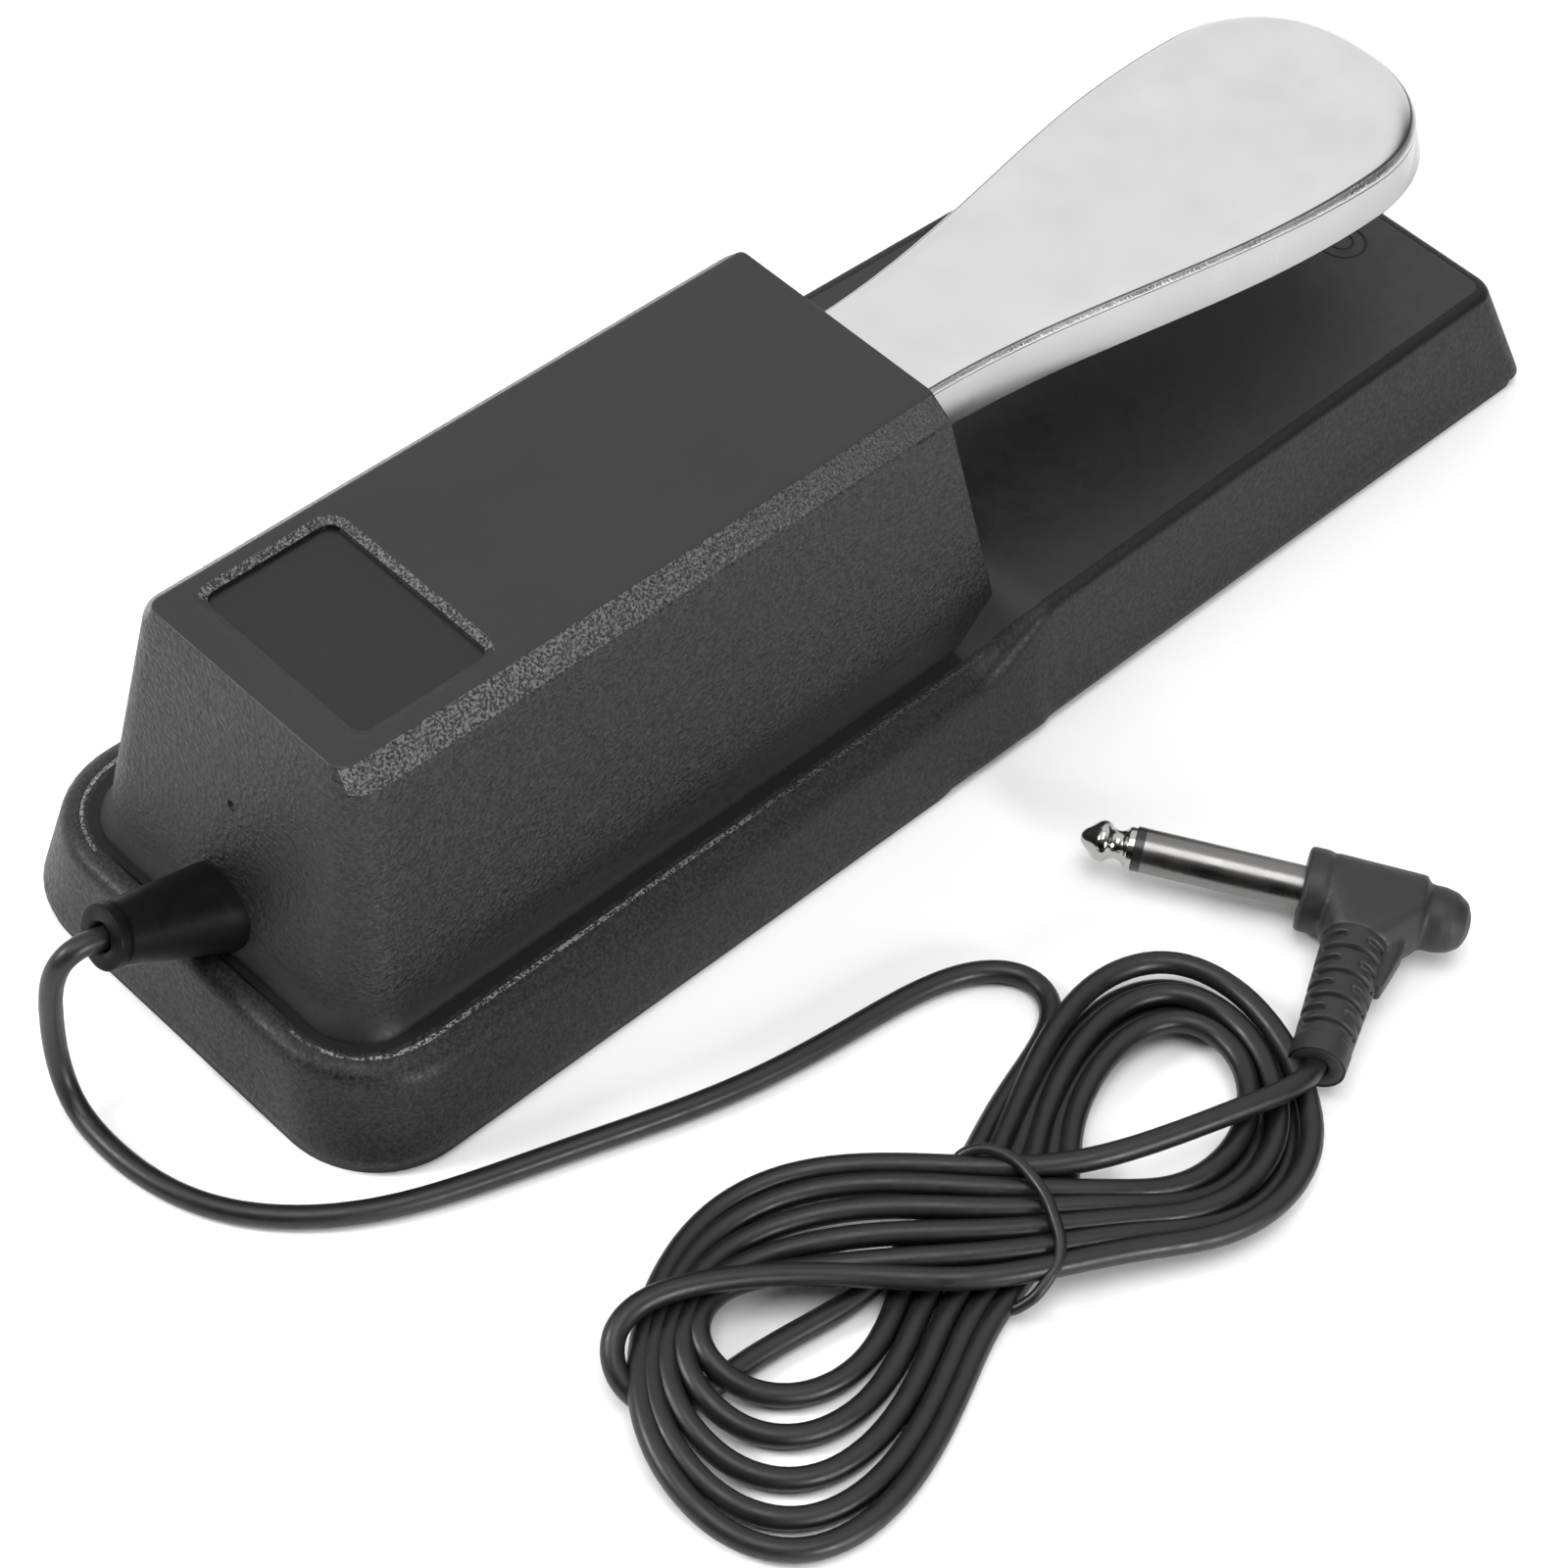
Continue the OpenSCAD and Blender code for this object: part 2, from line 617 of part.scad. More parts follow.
module cord_tie() {
    r = hank_h / 2;
    color([0.05, 0.05, 0.05]) translate([waist[0] - tie_d / 2, waist[1], tie_d / 2 + r])
        rotate([90, 0, 90]) difference() {
            tie_outline(r + tie_d / 2);
            translate([0, 0, -over]) scale([1, 1, 4]) tie_outline(r - tie_d / 2);
        }
}

module tie_outline(r) {
    flat = waist[2] - hank_h / 2 + 0.4;
    linear_extrude(tie_d) {
        translate([-flat, -r]) square([2 * flat, 2 * r]);
        for (side = [-1, 1]) translate([side * flat, 0]) circle(r = r, $fn = fine);
    }
}

// ---------------------------------------------------------------- plug

module plug_body() {
    color([0.07, 0.07, 0.07]) {
        along_plug() {
            translate([0, 0, -3.4]) cylinder(r = 6, h = 3.4, $fn = fine);
            translate([0, 0, -19]) cylinder(r = 4.7, h = 3, $fn = fine);
            translate([0, 0, -19]) sphere(r = 4.7, $fn = fine);
        }
        hull() {
            along_plug() translate([0, 0, -17.4]) cylinder(r = 5.6, h = 14.2, $fn = smooth_fn);
            along_relief() translate([0, 0, relief_start - 1.4]) cylinder(r = 5, h = 1, $fn = smooth_fn);
        }
    }
}

module plug_relief() {
    color([0.07, 0.07, 0.07]) along_relief() difference() {
        translate([0, 0, relief_start - 0.4]) cylinder(r1 = 4.7, r2 = 3.7, h = relief_l + 0.4, $fn = fine);
        for (z = [2.2 : 2.6 : relief_l - 5]) translate([0, 0, relief_start + z]) ring(6, 3.3, 0.7);
        translate([0, 0, relief_start + relief_l - 5]) cylinder(r = cord_d / 2 + 0.02, h = 6, $fn = fine);
    }
}

module plug_sleeve() {
    color([0.82, 0.82, 0.84]) along_plug() difference() {
        cylinder(d = jack_d, h = ring_from, $fn = fine);
        translate([0, 0, ring_from - 6]) cylinder(r = 1.6, h = 7, $fn = fine);
    }
}

module plug_insulator() {
    color([0.04, 0.04, 0.04]) along_plug() {
        translate([0, 0, ring_from]) ring(jack_d / 2, 1.22, ring_l);
        translate([0, 0, ring_from - 5.5]) ring(1.58, 1.22, 5.6);
    }
}

module plug_tip() {
    from = ring_from + ring_l;
    color([0.82, 0.82, 0.84]) along_plug() {
        rotate_extrude($fn = fine) polygon([
            [0, from], [2.9, from], [2.9, from + 0.9], [2.3, from + 1.5], [2.05, from + 2.3],
            [2.2, from + 3.1], [2.75, from + 3.9], [2.95, from + 4.6], [2.7, from + 5.3], [1.7, from + 6.4],
            [1.2, jack_l - 0.4], [0.8, jack_l], [0, jack_l]
        ]);
        translate([0, 0, ring_from - 5]) cylinder(r = 1.2, h = 5 + 2 * ring_l, $fn = fine);
    }
}

// ---------------------------------------------------------------- assembly

upper_shell();
base_plate();
rubber_mat();
shell_screws();
pivot_bracket();
bracket_screws();
pivot_pin();
pin_clips();
pedal_lever();
bush(1);  // left_bush
bush(-1);  // right_bush
return_spring();
spring_post();
downstop_cap();
upstop_pad();
switch_body();
switch_leaf();
switch_plunger();
switch_terminals();
switch_screws();
switch_nuts();
switch_bracket();
switch_bracket_screws();
inner_cord();
cord_saddle();
saddle_screws();
signal_wire();
ground_wire();
cord_boot();
cord_lead();
cord_hank();
cord_tail();
cord_tie();
plug_body();
plug_relief();
plug_sleeve();
plug_insulator();
plug_tip();
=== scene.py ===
"""Looks of a piano-style sustain pedal: moulded housing, chromed lever, cord in a tied hank, jack plug."""

import math

import bmesh
import bpy
from mathutils import Matrix, Quaternion, Vector


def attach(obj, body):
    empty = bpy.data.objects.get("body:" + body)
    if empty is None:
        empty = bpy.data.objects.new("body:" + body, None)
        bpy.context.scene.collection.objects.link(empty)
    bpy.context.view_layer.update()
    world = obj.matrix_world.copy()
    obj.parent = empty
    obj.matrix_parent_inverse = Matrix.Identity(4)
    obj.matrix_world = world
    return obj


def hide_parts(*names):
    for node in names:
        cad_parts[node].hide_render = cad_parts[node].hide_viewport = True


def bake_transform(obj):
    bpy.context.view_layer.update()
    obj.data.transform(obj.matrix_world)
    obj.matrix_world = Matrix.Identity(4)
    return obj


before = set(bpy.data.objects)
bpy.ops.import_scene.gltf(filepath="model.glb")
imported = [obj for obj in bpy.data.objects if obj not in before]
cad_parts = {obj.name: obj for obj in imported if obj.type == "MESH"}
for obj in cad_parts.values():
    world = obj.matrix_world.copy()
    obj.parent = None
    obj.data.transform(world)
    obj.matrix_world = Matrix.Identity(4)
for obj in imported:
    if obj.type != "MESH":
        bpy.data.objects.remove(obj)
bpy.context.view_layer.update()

MM = 0.001  # the lengths below are in millimetres, as in the CAD source


# ---------------------------------------------------------------- camera

CAMERA_AT = Vector((-0.3264, -0.2685, 0.4369))
CAMERA_AIM = Vector((-0.0426, -0.0322, 0.02))
CAMERA_ROLL = 7.26  # degrees
CAMERA_LENS = 94.1  # on a 36 mm sensor


def make_camera():
    data = bpy.data.cameras.new("camera")
    data.lens = CAMERA_LENS
    data.sensor_width = 36.0
    data.clip_start = 0.01
    data.clip_end = 20.0
    camera = bpy.data.objects.new("camera", data)
    bpy.context.collection.objects.link(camera)
    look = (CAMERA_AIM - CAMERA_AT).to_track_quat("-Z", "Y")
    camera.location = CAMERA_AT
    camera.rotation_mode = "QUATERNION"
    camera.rotation_quaternion = look @ Quaternion((0, 0, 1), math.radians(CAMERA_ROLL))
    bpy.context.scene.camera = camera


make_camera()


# ---------------------------------------------------------------- materials


class Surface:
    """A principled material that node chains are added to, with textures in the frame's own metres."""

    def __init__(self, name, colour, roughness, metallic=0.0, specular=0.5):
        self.material = bpy.data.materials.new(name)
        self.material.use_nodes = True
        self.nodes = self.material.node_tree.nodes
        self.links = self.material.node_tree.links
        self.shader = self.nodes["Principled BSDF"]
        self.shader.inputs["Base Color"].default_value = (*colour, 1)
        self.shader.inputs["Roughness"].default_value = roughness
        self.shader.inputs["Metallic"].default_value = metallic
        self.shader.inputs["Specular IOR Level"].default_value = specular
        self.place = self.nodes.new("ShaderNodeTexCoord").outputs["Object"]
        self.normal = None

    def stretched(self, stretch):
        node = self.nodes.new("ShaderNodeMapping")
        node.inputs["Scale"].default_value = stretch
        self.links.new(self.place, node.inputs["Vector"])
        return node.outputs["Vector"]

    def noise(self, size, detail=2.0, stretch=None):
        """A noise of features about size metres across."""
        node = self.nodes.new("ShaderNodeTexNoise")
        node.inputs["Scale"].default_value = 1 / size
        node.inputs["Detail"].default_value = detail
        self.links.new(self.stretched(stretch) if stretch else self.place, node.inputs["Vector"])
        return node.outputs["Fac"]

    def cells(self, size):
        """Rounded cells of about size metres, as of a leather grain."""
        node = self.nodes.new("ShaderNodeTexVoronoi")
        node.inputs["Scale"].default_value = 1 / size
        self.links.new(self.place, node.inputs["Vector"])
        return node.outputs["Distance"]

    def spread(self, value, low_in, high_in, low, high):
        node = self.nodes.new("ShaderNodeMapRange")
        node.inputs["From Min"].default_value = low_in
        node.inputs["From Max"].default_value = high_in
        node.inputs["To Min"].default_value = low
        node.inputs["To Max"].default_value = high
        self.links.new(value, node.inputs["Value"])
        return node.outputs["Result"]

    def fading(self, value, rest, axis, gone, whole):
        """The value as it is where the position along an axis is whole, and only rest where it is gone."""
        place = self.nodes.new("ShaderNodeSeparateXYZ")
        self.links.new(self.place, place.inputs["Vector"])
        mix = self.nodes.new("ShaderNodeMix")
        self.links.new(self.spread(place.outputs[axis], gone, whole, 0, 1), mix.inputs[0])
        mix.inputs[2].default_value = rest
        self.links.new(value, mix.inputs[3])
        return mix.outputs[0]

    def colours(self, value, first, second, low_in=0.3, high_in=0.7):
        """The base colour runs from first to second as value goes from low_in to high_in."""
        node = self.nodes.new("ShaderNodeMix")
        node.data_type = "RGBA"
        node.inputs[6].default_value = (*first, 1)
        node.inputs[7].default_value = (*second, 1)
        self.links.new(self.spread(value, low_in, high_in, 0, 1), node.inputs["Factor"])
        self.links.new(node.outputs[2], self.shader.inputs["Base Color"])
        return self

    def roughness(self, value, low, high, low_in=0.3, high_in=0.7):
        self.links.new(self.spread(value, low_in, high_in, low, high), self.shader.inputs["Roughness"])
        return self

    def bump(self, value, depth):
        """Adds relief of about depth metres on what is there already."""
        node = self.nodes.new("ShaderNodeBump")
        node.inputs["Distance"].default_value = depth
        node.inputs["Strength"].default_value = 1.0
        self.links.new(value, node.inputs["Height"])
        if self.normal:
            self.links.new(self.normal, node.inputs["Normal"])
        self.normal = node.outputs["Normal"]
        self.links.new(self.normal, self.shader.inputs["Normal"])
        return self


def black_plastic(name, shade, rough, grain_size, grain_depth, specular=0.4):
    """Moulded black plastic: a satin skin with a fine even grain."""
    s = Surface(name, (shade, shade, shade), rough, specular=specular)
    s.colours(s.noise(0.03, 3), (shade * 0.8,) * 3, (shade * 1.2,) * 3)
    s.roughness(s.noise(grain_size * 6, 4), rough - 0.06, rough + 0.06)
    s.bump(s.noise(grain_size, 3), grain_depth)
    return s.material


def leather_plastic(name, shade, rough, size, depth, specular=0.36, foot=(-2, -1), lit=(-2, -1)):
    """The leather grain of a mould: rounded cells whose relief is real, with painted light on their tops
    and painted shade in the creases between them.

    Its two fades stand for the photo's light and aren't part of the real surface. Between the two heights
    of its foot the grain runs out downwards into a dark skin, as shadow. Its tops are dull at the first of
    the two places along x that lit gives, and fully light from the second on.
    """
    s = Surface(name, (shade, shade, shade), rough, specular=specular)
    creases = s.fading(s.noise(size, 3, (1, 1, 1.3)), 0.4, "Z", *foot)
    # Painted light on the cell tops and painted shade in the creases between them
    s.colours(s.fading(creases, 0.42, "X", *lit), (shade * 0.3,) * 3, (shade * 2.8,) * 3, 0.4, 0.64)
    s.roughness(s.noise(size * 1.4, 3), rough - 0.1, rough + 0.1)
    s.bump(s.fading(s.cells(size * 1.6), 0, "Z", *foot), depth)
    s.bump(creases, depth * 1.6)
    return s.material


def sparkle_plastic(name, shade, size=0.0006):
    """The coarse spark-eroded texture of a mould: real relief, with painted glints and painted shade
    on its facets one by one.

    It fades to an even shade towards the front, which stands for the fall-off of the light in the photo.
    """
    s = Surface(name, (shade, shade, shade), 0.34, specular=0.5)
    grain = s.noise(size, 2)
    # Painted glints and painted shade speck by speck, fading to an even shade towards the front
    s.colours(s.fading(grain, 0.47, "X", 0.0, -0.09), (shade * 0.1,) * 3, (shade * 4,) * 3, 0.44, 0.6)
    s.roughness(s.noise(size * 1.3, 2), 0.22, 0.5)
    s.bump(grain, 0.0005)
    return s.material


def metal(name, colour, rough, brush=None, depth=0.000004, swing=0.06):
    """Plated or bare metal with a faint uneven polish, brushed along one direction where asked."""
    s = Surface(name, colour, rough, metallic=1.0)
    s.roughness(s.noise(0.006, 4), max(0.02, rough - swing), rough + swing)
    s.colours(s.noise(0.012, 3), tuple(c * 0.95 for c in colour), tuple(min(1, c * 1.03) for c in colour))
    s.bump(s.noise(0.0004, 3, brush), depth)
    return s.material


def soft_plastic(name, colour, rough, grain_size=0.0005, grain_depth=0.00001, specular=0.5):
    """Soft or cast plastic, rubber and felt: a slightly mottled colour and a fine uneven skin."""
    s = Surface(name, colour, rough, specular=specular)
    s.colours(s.noise(0.008, 4), tuple(c * 0.85 for c in colour), tuple(min(1, c * 1.15) for c in colour))
    s.roughness(s.noise(0.002, 3), rough - 0.07, rough + 0.07)
    s.bump(s.noise(grain_size, 3), grain_depth)
    return s.material


MAT = {
    # Painted shade at the wall's foot, and painted light on the grain tops of the side walls, not the rear
    # wall
    "wall": leather_plastic(
        "shell_leather_grain", 0.01, 0.48, 0.00055, 0.00014, foot=(0.0185, 0.026), lit=(-0.1145, -0.1085)
    ),
    "satin": black_plastic("shell_satin", 0.007, 0.42, 0.0003, 0.000012, specular=0.5),
    "floor": black_plastic("shell_recess_floor", 0.005, 0.36, 0.0002, 0.000004),
    # Painted light on the grain tops, full towards the rear and gone towards the front
    "skirt": leather_plastic(
        "shell_fine_grain", 0.0065, 0.5, 0.0005, 0.00002, specular=0.28, lit=(0.07, -0.05)
    ),
    "sparkle": sparkle_plastic("shell_spark_grain", 0.028, 0.0004),
    # The rim's painted highlight along its ridge, and its fainter painted run further along the ridge
    "ridge_highlight": sparkle_plastic("shell_rim_painted_highlight", 0.05, 0.0004),
    "ridge_faint_highlight": sparkle_plastic("shell_rim_painted_faint_highlight", 0.02, 0.0004),
    # Painted shade on the rim's top inside the ridge, up to the hump's foot
    "crease": black_plastic("shell_rim_painted_shade", 0.003, 0.55, 0.0003, 0.00001, specular=0.25),
    "inside": black_plastic("shell_inside", 0.005, 0.6, 0.0006, 0.00002),
    "chrome": metal("satin_chrome", (0.7, 0.7, 0.71), 0.2, brush=(0.15, 1, 1), swing=0.04),
    # Painted reflections on the lever's wall: a darker tone, dark lines and a grained band
    "chrome_wall": metal("chrome_wall_painted_reflection", (0.47, 0.47, 0.47), 0.24, swing=0.04),
    "chrome_line": metal("chrome_painted_dark_line", (0.14, 0.14, 0.14), 0.4),
    "chrome_reflection_band": metal("chrome_painted_reflection_band", (0.58, 0.58, 0.58), 0.3, depth=0.0001),
    "nickel": metal("polished_nickel", (0.46, 0.45, 0.44), 0.14, swing=0.04),
    # Far darker than nickel: a painted dark reflection, for the darker room the real sleeve reflects
    "sleeve": metal("turned_nickel_painted_dark", (0.2, 0.195, 0.19), 0.28, swing=0.08, depth=0.00001),
    "plate": metal("zinc_plated_sheet", (0.55, 0.56, 0.57), 0.38, swing=0.12, depth=0.00001),
    "screw": metal("zinc_plated_screw", (0.6, 0.6, 0.6), 0.3, swing=0.1, depth=0.00001),
    "pin": metal("ground_steel", (0.6, 0.6, 0.61), 0.16, brush=(1, 0.1, 1)),
    "spring": metal("spring_wire", (0.42, 0.42, 0.43), 0.3, swing=0.1),
    "brass": metal("tinned_brass", (0.72, 0.6, 0.38), 0.28, swing=0.08),
    "cord": soft_plastic("cord_pvc", (0.007, 0.007, 0.007), 0.41, 0.0009, 0.000012, specular=0.4),
    "boot": soft_plastic("boot_pvc", (0.004, 0.004, 0.004), 0.42, 0.0006, 0.00002, specular=0.1),
    "tie": soft_plastic("tie_wire_coat", (0.006, 0.006, 0.006), 0.4, 0.0004, 0.00001, specular=0.4),
    "plug": soft_plastic("plug_pvc", (0.014, 0.014, 0.014), 0.5, 0.0006, 0.00003, specular=0.4),
    "mat": soft_plastic("mat_rubber", (0.02, 0.02, 0.02), 0.75, 0.0008, 0.00008),
    "nylon": soft_plastic("nylon", (0.72, 0.7, 0.62), 0.45),
    "felt": soft_plastic("felt", (0.09, 0.09, 0.1), 0.95, 0.0003, 0.0002, specular=0.1),
    "stop": soft_plastic("stop_rubber", (0.025, 0.025, 0.025), 0.7, 0.0006, 0.00004),
    "switch": soft_plastic("switch_plastic", (0.03, 0.03, 0.032), 0.4),
    "plunger": soft_plastic("plunger_plastic", (0.45, 0.04, 0.03), 0.4),
    "red": soft_plastic("wire_red", (0.42, 0.03, 0.025), 0.42),
    "white": soft_plastic("wire_white", (0.75, 0.75, 0.72), 0.42),
    "ring": soft_plastic("insulator_plastic", (0.01, 0.01, 0.01), 0.3),
}

NODE_LOOKS = {
    "base_plate": "plate",
    "rubber_mat": "mat",
    "shell_screws": "screw",
    "pivot_bracket": "plate",
    "bracket_screws": "screw",
    "pivot_pin": "pin",
    "pin_clips": "spring",
    "left_bush": "nylon",
    "right_bush": "nylon",
    "return_spring": "spring",
    "spring_post": "nylon",
    "downstop_cap": "stop",
    "upstop_pad": "felt",
    "switch_body": "switch",
    "switch_leaf": "spring",
    "switch_plunger": "plunger",
    "switch_terminals": "brass",
    "switch_screws": "screw",
    "switch_nuts": "screw",
    "switch_bracket": "plate",
    "switch_bracket_screws": "screw",
    "inner_cord": "cord",
    "cord_saddle": "nylon",
    "saddle_screws": "screw",
    "signal_wire": "red",
    "ground_wire": "white",
    "plug_sleeve": "sleeve",
    "plug_insulator": "ring",
}

for node_name, look in NODE_LOOKS.items():
    for material_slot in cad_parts[node_name].material_slots:
        material_slot.material = MAT[look]


# ---------------------------------------------------------------- mesh helpers


def add_mesh(name, points, faces, body, looks, face_looks=None):
    """A smooth-shaded mesh of points in millimetres that rides on a CAD body."""
    mesh = bpy.data.meshes.new(name)
    mesh.from_pydata([[c * MM for c in p] for p in points], [], faces)
    for look in looks:
        mesh.materials.append(MAT[look])
    if face_looks:
        mesh.polygons.foreach_set("material_index", face_looks)
    work = bmesh.new()
    work.from_mesh(mesh)
    bmesh.ops.remove_doubles(work, verts=work.verts, dist=1e-7)
    bmesh.ops.recalc_face_normals(work, faces=work.faces)
    for face in work.faces:
        face.smooth = True
    work.to_mesh(mesh)
    work.free()
    piece = bpy.data.objects.new(name, mesh)
    bpy.context.collection.objects.link(piece)
    if body:
        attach(piece, body)
    return piece


def loft(rings):
    """Points and faces of a surface through closed rings of equally many points."""
    count = len(rings[0])
    points = [p for ring in rings for p in ring]
    faces = []
    for i in range(len(rings) - 1):
        for j in range(count):
            a = i * count + j
            b = i * count + (j + 1) % count
            faces.append((a, b, b + count, a + count))
    return points, faces


def soften(knots, cuts, steps=4):
    """The knots, each a tuple of numbers, with the corner at each inner one rounded over its cut length."""
    out = [knots[0]]
    for i in range(1, len(knots) - 1):
        knot = Vector(knots[i])
        back = (Vector(knots[i - 1]) - knot).normalized() * cuts[i - 1]
        on = (Vector(knots[i + 1]) - knot).normalized() * cuts[i - 1]
        for k in range(steps + 1):
            t = k / steps
            out.append(tuple(knot + back * (1 - t) ** 2 + on * t * t))
    out.append(knots[-1])
    return out


def mirrored(half):
    """A closed outline from its half at y <= 0, which runs from the rear middle to the front middle."""
    return half + [(p[0], -p[1], *p[2:]) for p in reversed(half[1:-1])]


def arc(cx, cy, r, start, end, steps):
    turns = [math.radians(start + (end - start) * i / steps) for i in range(steps + 1)]
    return [(cx + r * math.cos(a), cy + r * math.sin(a)) for a in turns]


def half_outline(x0, x1, hw_at, r0, r1, side_steps=120, arc_steps=12):
    """Half of a rounded outline at y <= 0, whose half width at x is hw_at(x)."""
    rear = [(x0, 0.0), (x0, -(hw_at(x0) - r0) * 0.5)]
    corner = arc(x0 + r0, -(hw_at(x0 + r0) - r0), r0, 180, 270, arc_steps)
    span = x1 - r1 - x0 - r0
    side = []
    for i in range(1, side_steps):
        x = x0 + r0 + span * i / side_steps
        side.append((x, -hw_at(x)))
    nose = arc(x1 - r1, -(hw_at(x1 - r1) - r1), r1, 270, 360, arc_steps)
    front = [(x1, -(hw_at(x1) - r1) * 0.5), (x1, 0.0)]
    return rear + corner + side + nose + front


def flat_fill(faces, start, count):
    """Closes a mirrored ring with strips from side to side."""
    half = count // 2
    ends = (-2, -1, 0, 1, 2)
    faces.append(tuple(start + j % count for j in ends))
    for j in range(2, half - 2):
        faces.append((start + j, start + j + 1, start + count - j - 1, start + count - j))
    faces.append(tuple(start + half + j for j in ends))


def cut(piece, tool):
    """Takes the tool's volume out of the piece, and removes the tool."""
    change = piece.modifiers.new("cut", "BOOLEAN")
    change.operation = "DIFFERENCE"
    change.solver = "MANIFOLD"
    change.material_mode = "TRANSFER"
    change.object = tool
    bpy.context.view_layer.update()
    shape = bpy.data.meshes.new_from_object(piece.evaluated_get(bpy.context.evaluated_depsgraph_get()))
    piece.modifiers.clear()
    piece.data = shape
    bpy.data.objects.remove(tool)


def turned(profile, steps=48):
    """Points and faces of a surface of revolution about z, from [radius, height] pairs."""
    rings = []
    for r, z in profile:
        ring = [2 * math.pi * k / steps for k in range(steps)]
        rings.append([(r * math.cos(a), r * math.sin(a), z) for a in ring])
    return loft(rings)


def placed(points, matrix):
    return [tuple(matrix @ Vector(p)) for p in points]


def axes(origin, along, up=(0, 0, 1)):
    """A matrix whose z runs along a direction, with its origin at a point."""
    z = Vector(along).normalized()
    x = Vector(up).cross(z).normalized()
    y = z.cross(x)
    return Matrix.Translation(Vector(origin)) @ Matrix((x, y, z)).transposed().to_4x4()


# ---------------------------------------------------------------- cord

CORD_D = 3.2
TIE_D = 1.6
BOOT_ROOT = Vector((-113, 0, 21))
BOOT_RISE = 18
BOOT_TURN = 6
BOOT_ALONG = Vector(
    (
        -math.cos(math.radians(BOOT_RISE)) * math.cos(math.radians(BOOT_TURN)),
        math.cos(math.radians(BOOT_RISE)) * math.sin(math.radians(BOOT_TURN)),
        math.sin(math.radians(BOOT_RISE)),
    )
)

# From inside the boot down to the floor and along it to the hank: near the CAD's lead_route, not equal to it
LEAD = [
    (-127, 1.4, 25.6), (-132.3, 2, 27.3), (-135.4, 2.4, 27.9), (-138.3, 3, 26), (-139.4, 3.6, 21.4),
    (-139.4, 3.8, 15), (-139.6, 3.2, 9), (-140, 1.2, 4.6), (-140.6, -2.4, 2), (-141, -8, 1.6),
    (-140.6, -16, 1.6), (-137.6, -25, 1.6), (-131, -33, 1.6), (-122, -39.4, 1.6), (-111.4, -43.8, 1.6),
    (-96, -48.6, 1.6), (-81, -53.8, 1.6), (-67.8, -57.2, 1.6), (-54, -59, 1.6), (-44.2, -60, 1.6),
    (-36, -62, 1.6), (-30.4, -65.8, 1.6), (-28.6, -71, 1.6), (-31.4, -75.8, 1.6), (-38, -78.4, 1.6),
    (-46, -80.4, 1.6), (-54.5, -83.4, 1.8),
]
# Around one turn of the hank's rear lobe, for its outermost and its innermost turn, and the heights
REAR_OUT = [
    (-73, -103.4), (-81.5, -107), (-92, -111.8), (-104, -115), (-115, -113.5), (-121.5, -106.5), (-123, -97),
    (-120.2, -87), (-113, -78.5), (-102.5, -71.8), (-90.5, -68.6), (-79, -71.6), (-69, -79.6),
]
REAR_IN = [
    (-76.5, -91.5), (-83, -95), (-88.5, -97.2), (-94.5, -97.8), (-100.5, -96), (-105, -92), (-106.9, -87.6),
    (-106.6, -82.8), (-102.8, -79.2), (-96.6, -78.6), (-89.8, -82.2), (-82.5, -88), (-76.5, -93),
]
REAR_Z = [2.2, 1.6, 1.6, 1.6, 1.6, 2.2, 3.8, 4.85, 4.85, 4.2, 4.2, 5.2, 6]
REAR_SHARE = [0, 0, 0.27, 0.55, 0.8, 1]
# The same for the front lobe
FRONT_OUT = [
    (-54, -110), (-44.5, -116), (-34.5, -118.2), (-24.8, -116.2), (-17.6, -109.4), (-12.6, -99.6),
    (-10.8, -90), (-13.4, -81.2), (-21, -77), (-30, -77), (-40, -80), (-49.5, -84.2),
]
FRONT_IN = [
    (-50, -101.6), (-43.8, -106), (-37.5, -108), (-30.5, -107.6), (-24.2, -104.6), (-19.6, -99.6),
    (-18.2, -94), (-19.6, -88.8), (-24.6, -86), (-31.5, -85.6), (-39, -87.6), (-46, -91.2),
]
FRONT_Z = [5.2, 3.4, 1.8, 1.6, 1.6, 1.6, 1.6, 1.6, 1.6, 1.6, 1.6, 2]
FRONT_SHARE = [1, 0.75, 0.5, 0.25, 0]
FRONT_LIFT = [3.2, 0, 2.2, 0, 2.2]
# The first turn's rear loop is a long narrow one that lies under the others and comes back over them
STRAY_LOOP = [
    (-82, -90.8, 1.6), (-93, -88.8, 1.6), (-102.4, -87.4, 1.6), (-109, -87.4, 1.6), (-113.9, -86.4, 1.7),
    (-117, -83.2, 2.8), (-117.4, -79, 4.9), (-114.8, -75.6, 7), (-110.4, -74.8, 8), (-106, -75.8, 8.1),
    (-101.4, -77.8, 8), (-95.6, -81.2, 7.6), (-89.6, -85.4, 6.8), (-83, -91, 6), (-76, -98, 5.8),
]
# From the tie over the front lobe into the plug's strain relief
TAIL = [
    (-51, -96.8, 6.8), (-41.2, -101, 7.2), (-33, -103.8, 7.4), (-26.5, -105.8, 7.4), (-21.5, -107.2, 7.2),
    (-17.6, -107.6, 6.7), (-14.1, -106.92, 6.1), (-10.5, -105.13, 6.05), (-6.9, -103.35, 6.05),
]
STEEP_AT = Vector((-63, -87.2, 2.8))  # first strand of the lower group at the tie
STEEP_STEP = Vector((1.34, -2.75, 0))
STEEP_LIFT = 0.6  # every other strand of the lower group lies this much higher
TOP_AT = Vector((-60, -89, 6.05))  # last strand of the upper group at the tie
TOP_STEP = Vector((-1.78, -2.85, 0))
TURNS = 6


def between(a, b, share):
    return tuple(p + (q - p) * share for p, q in zip(a, b))


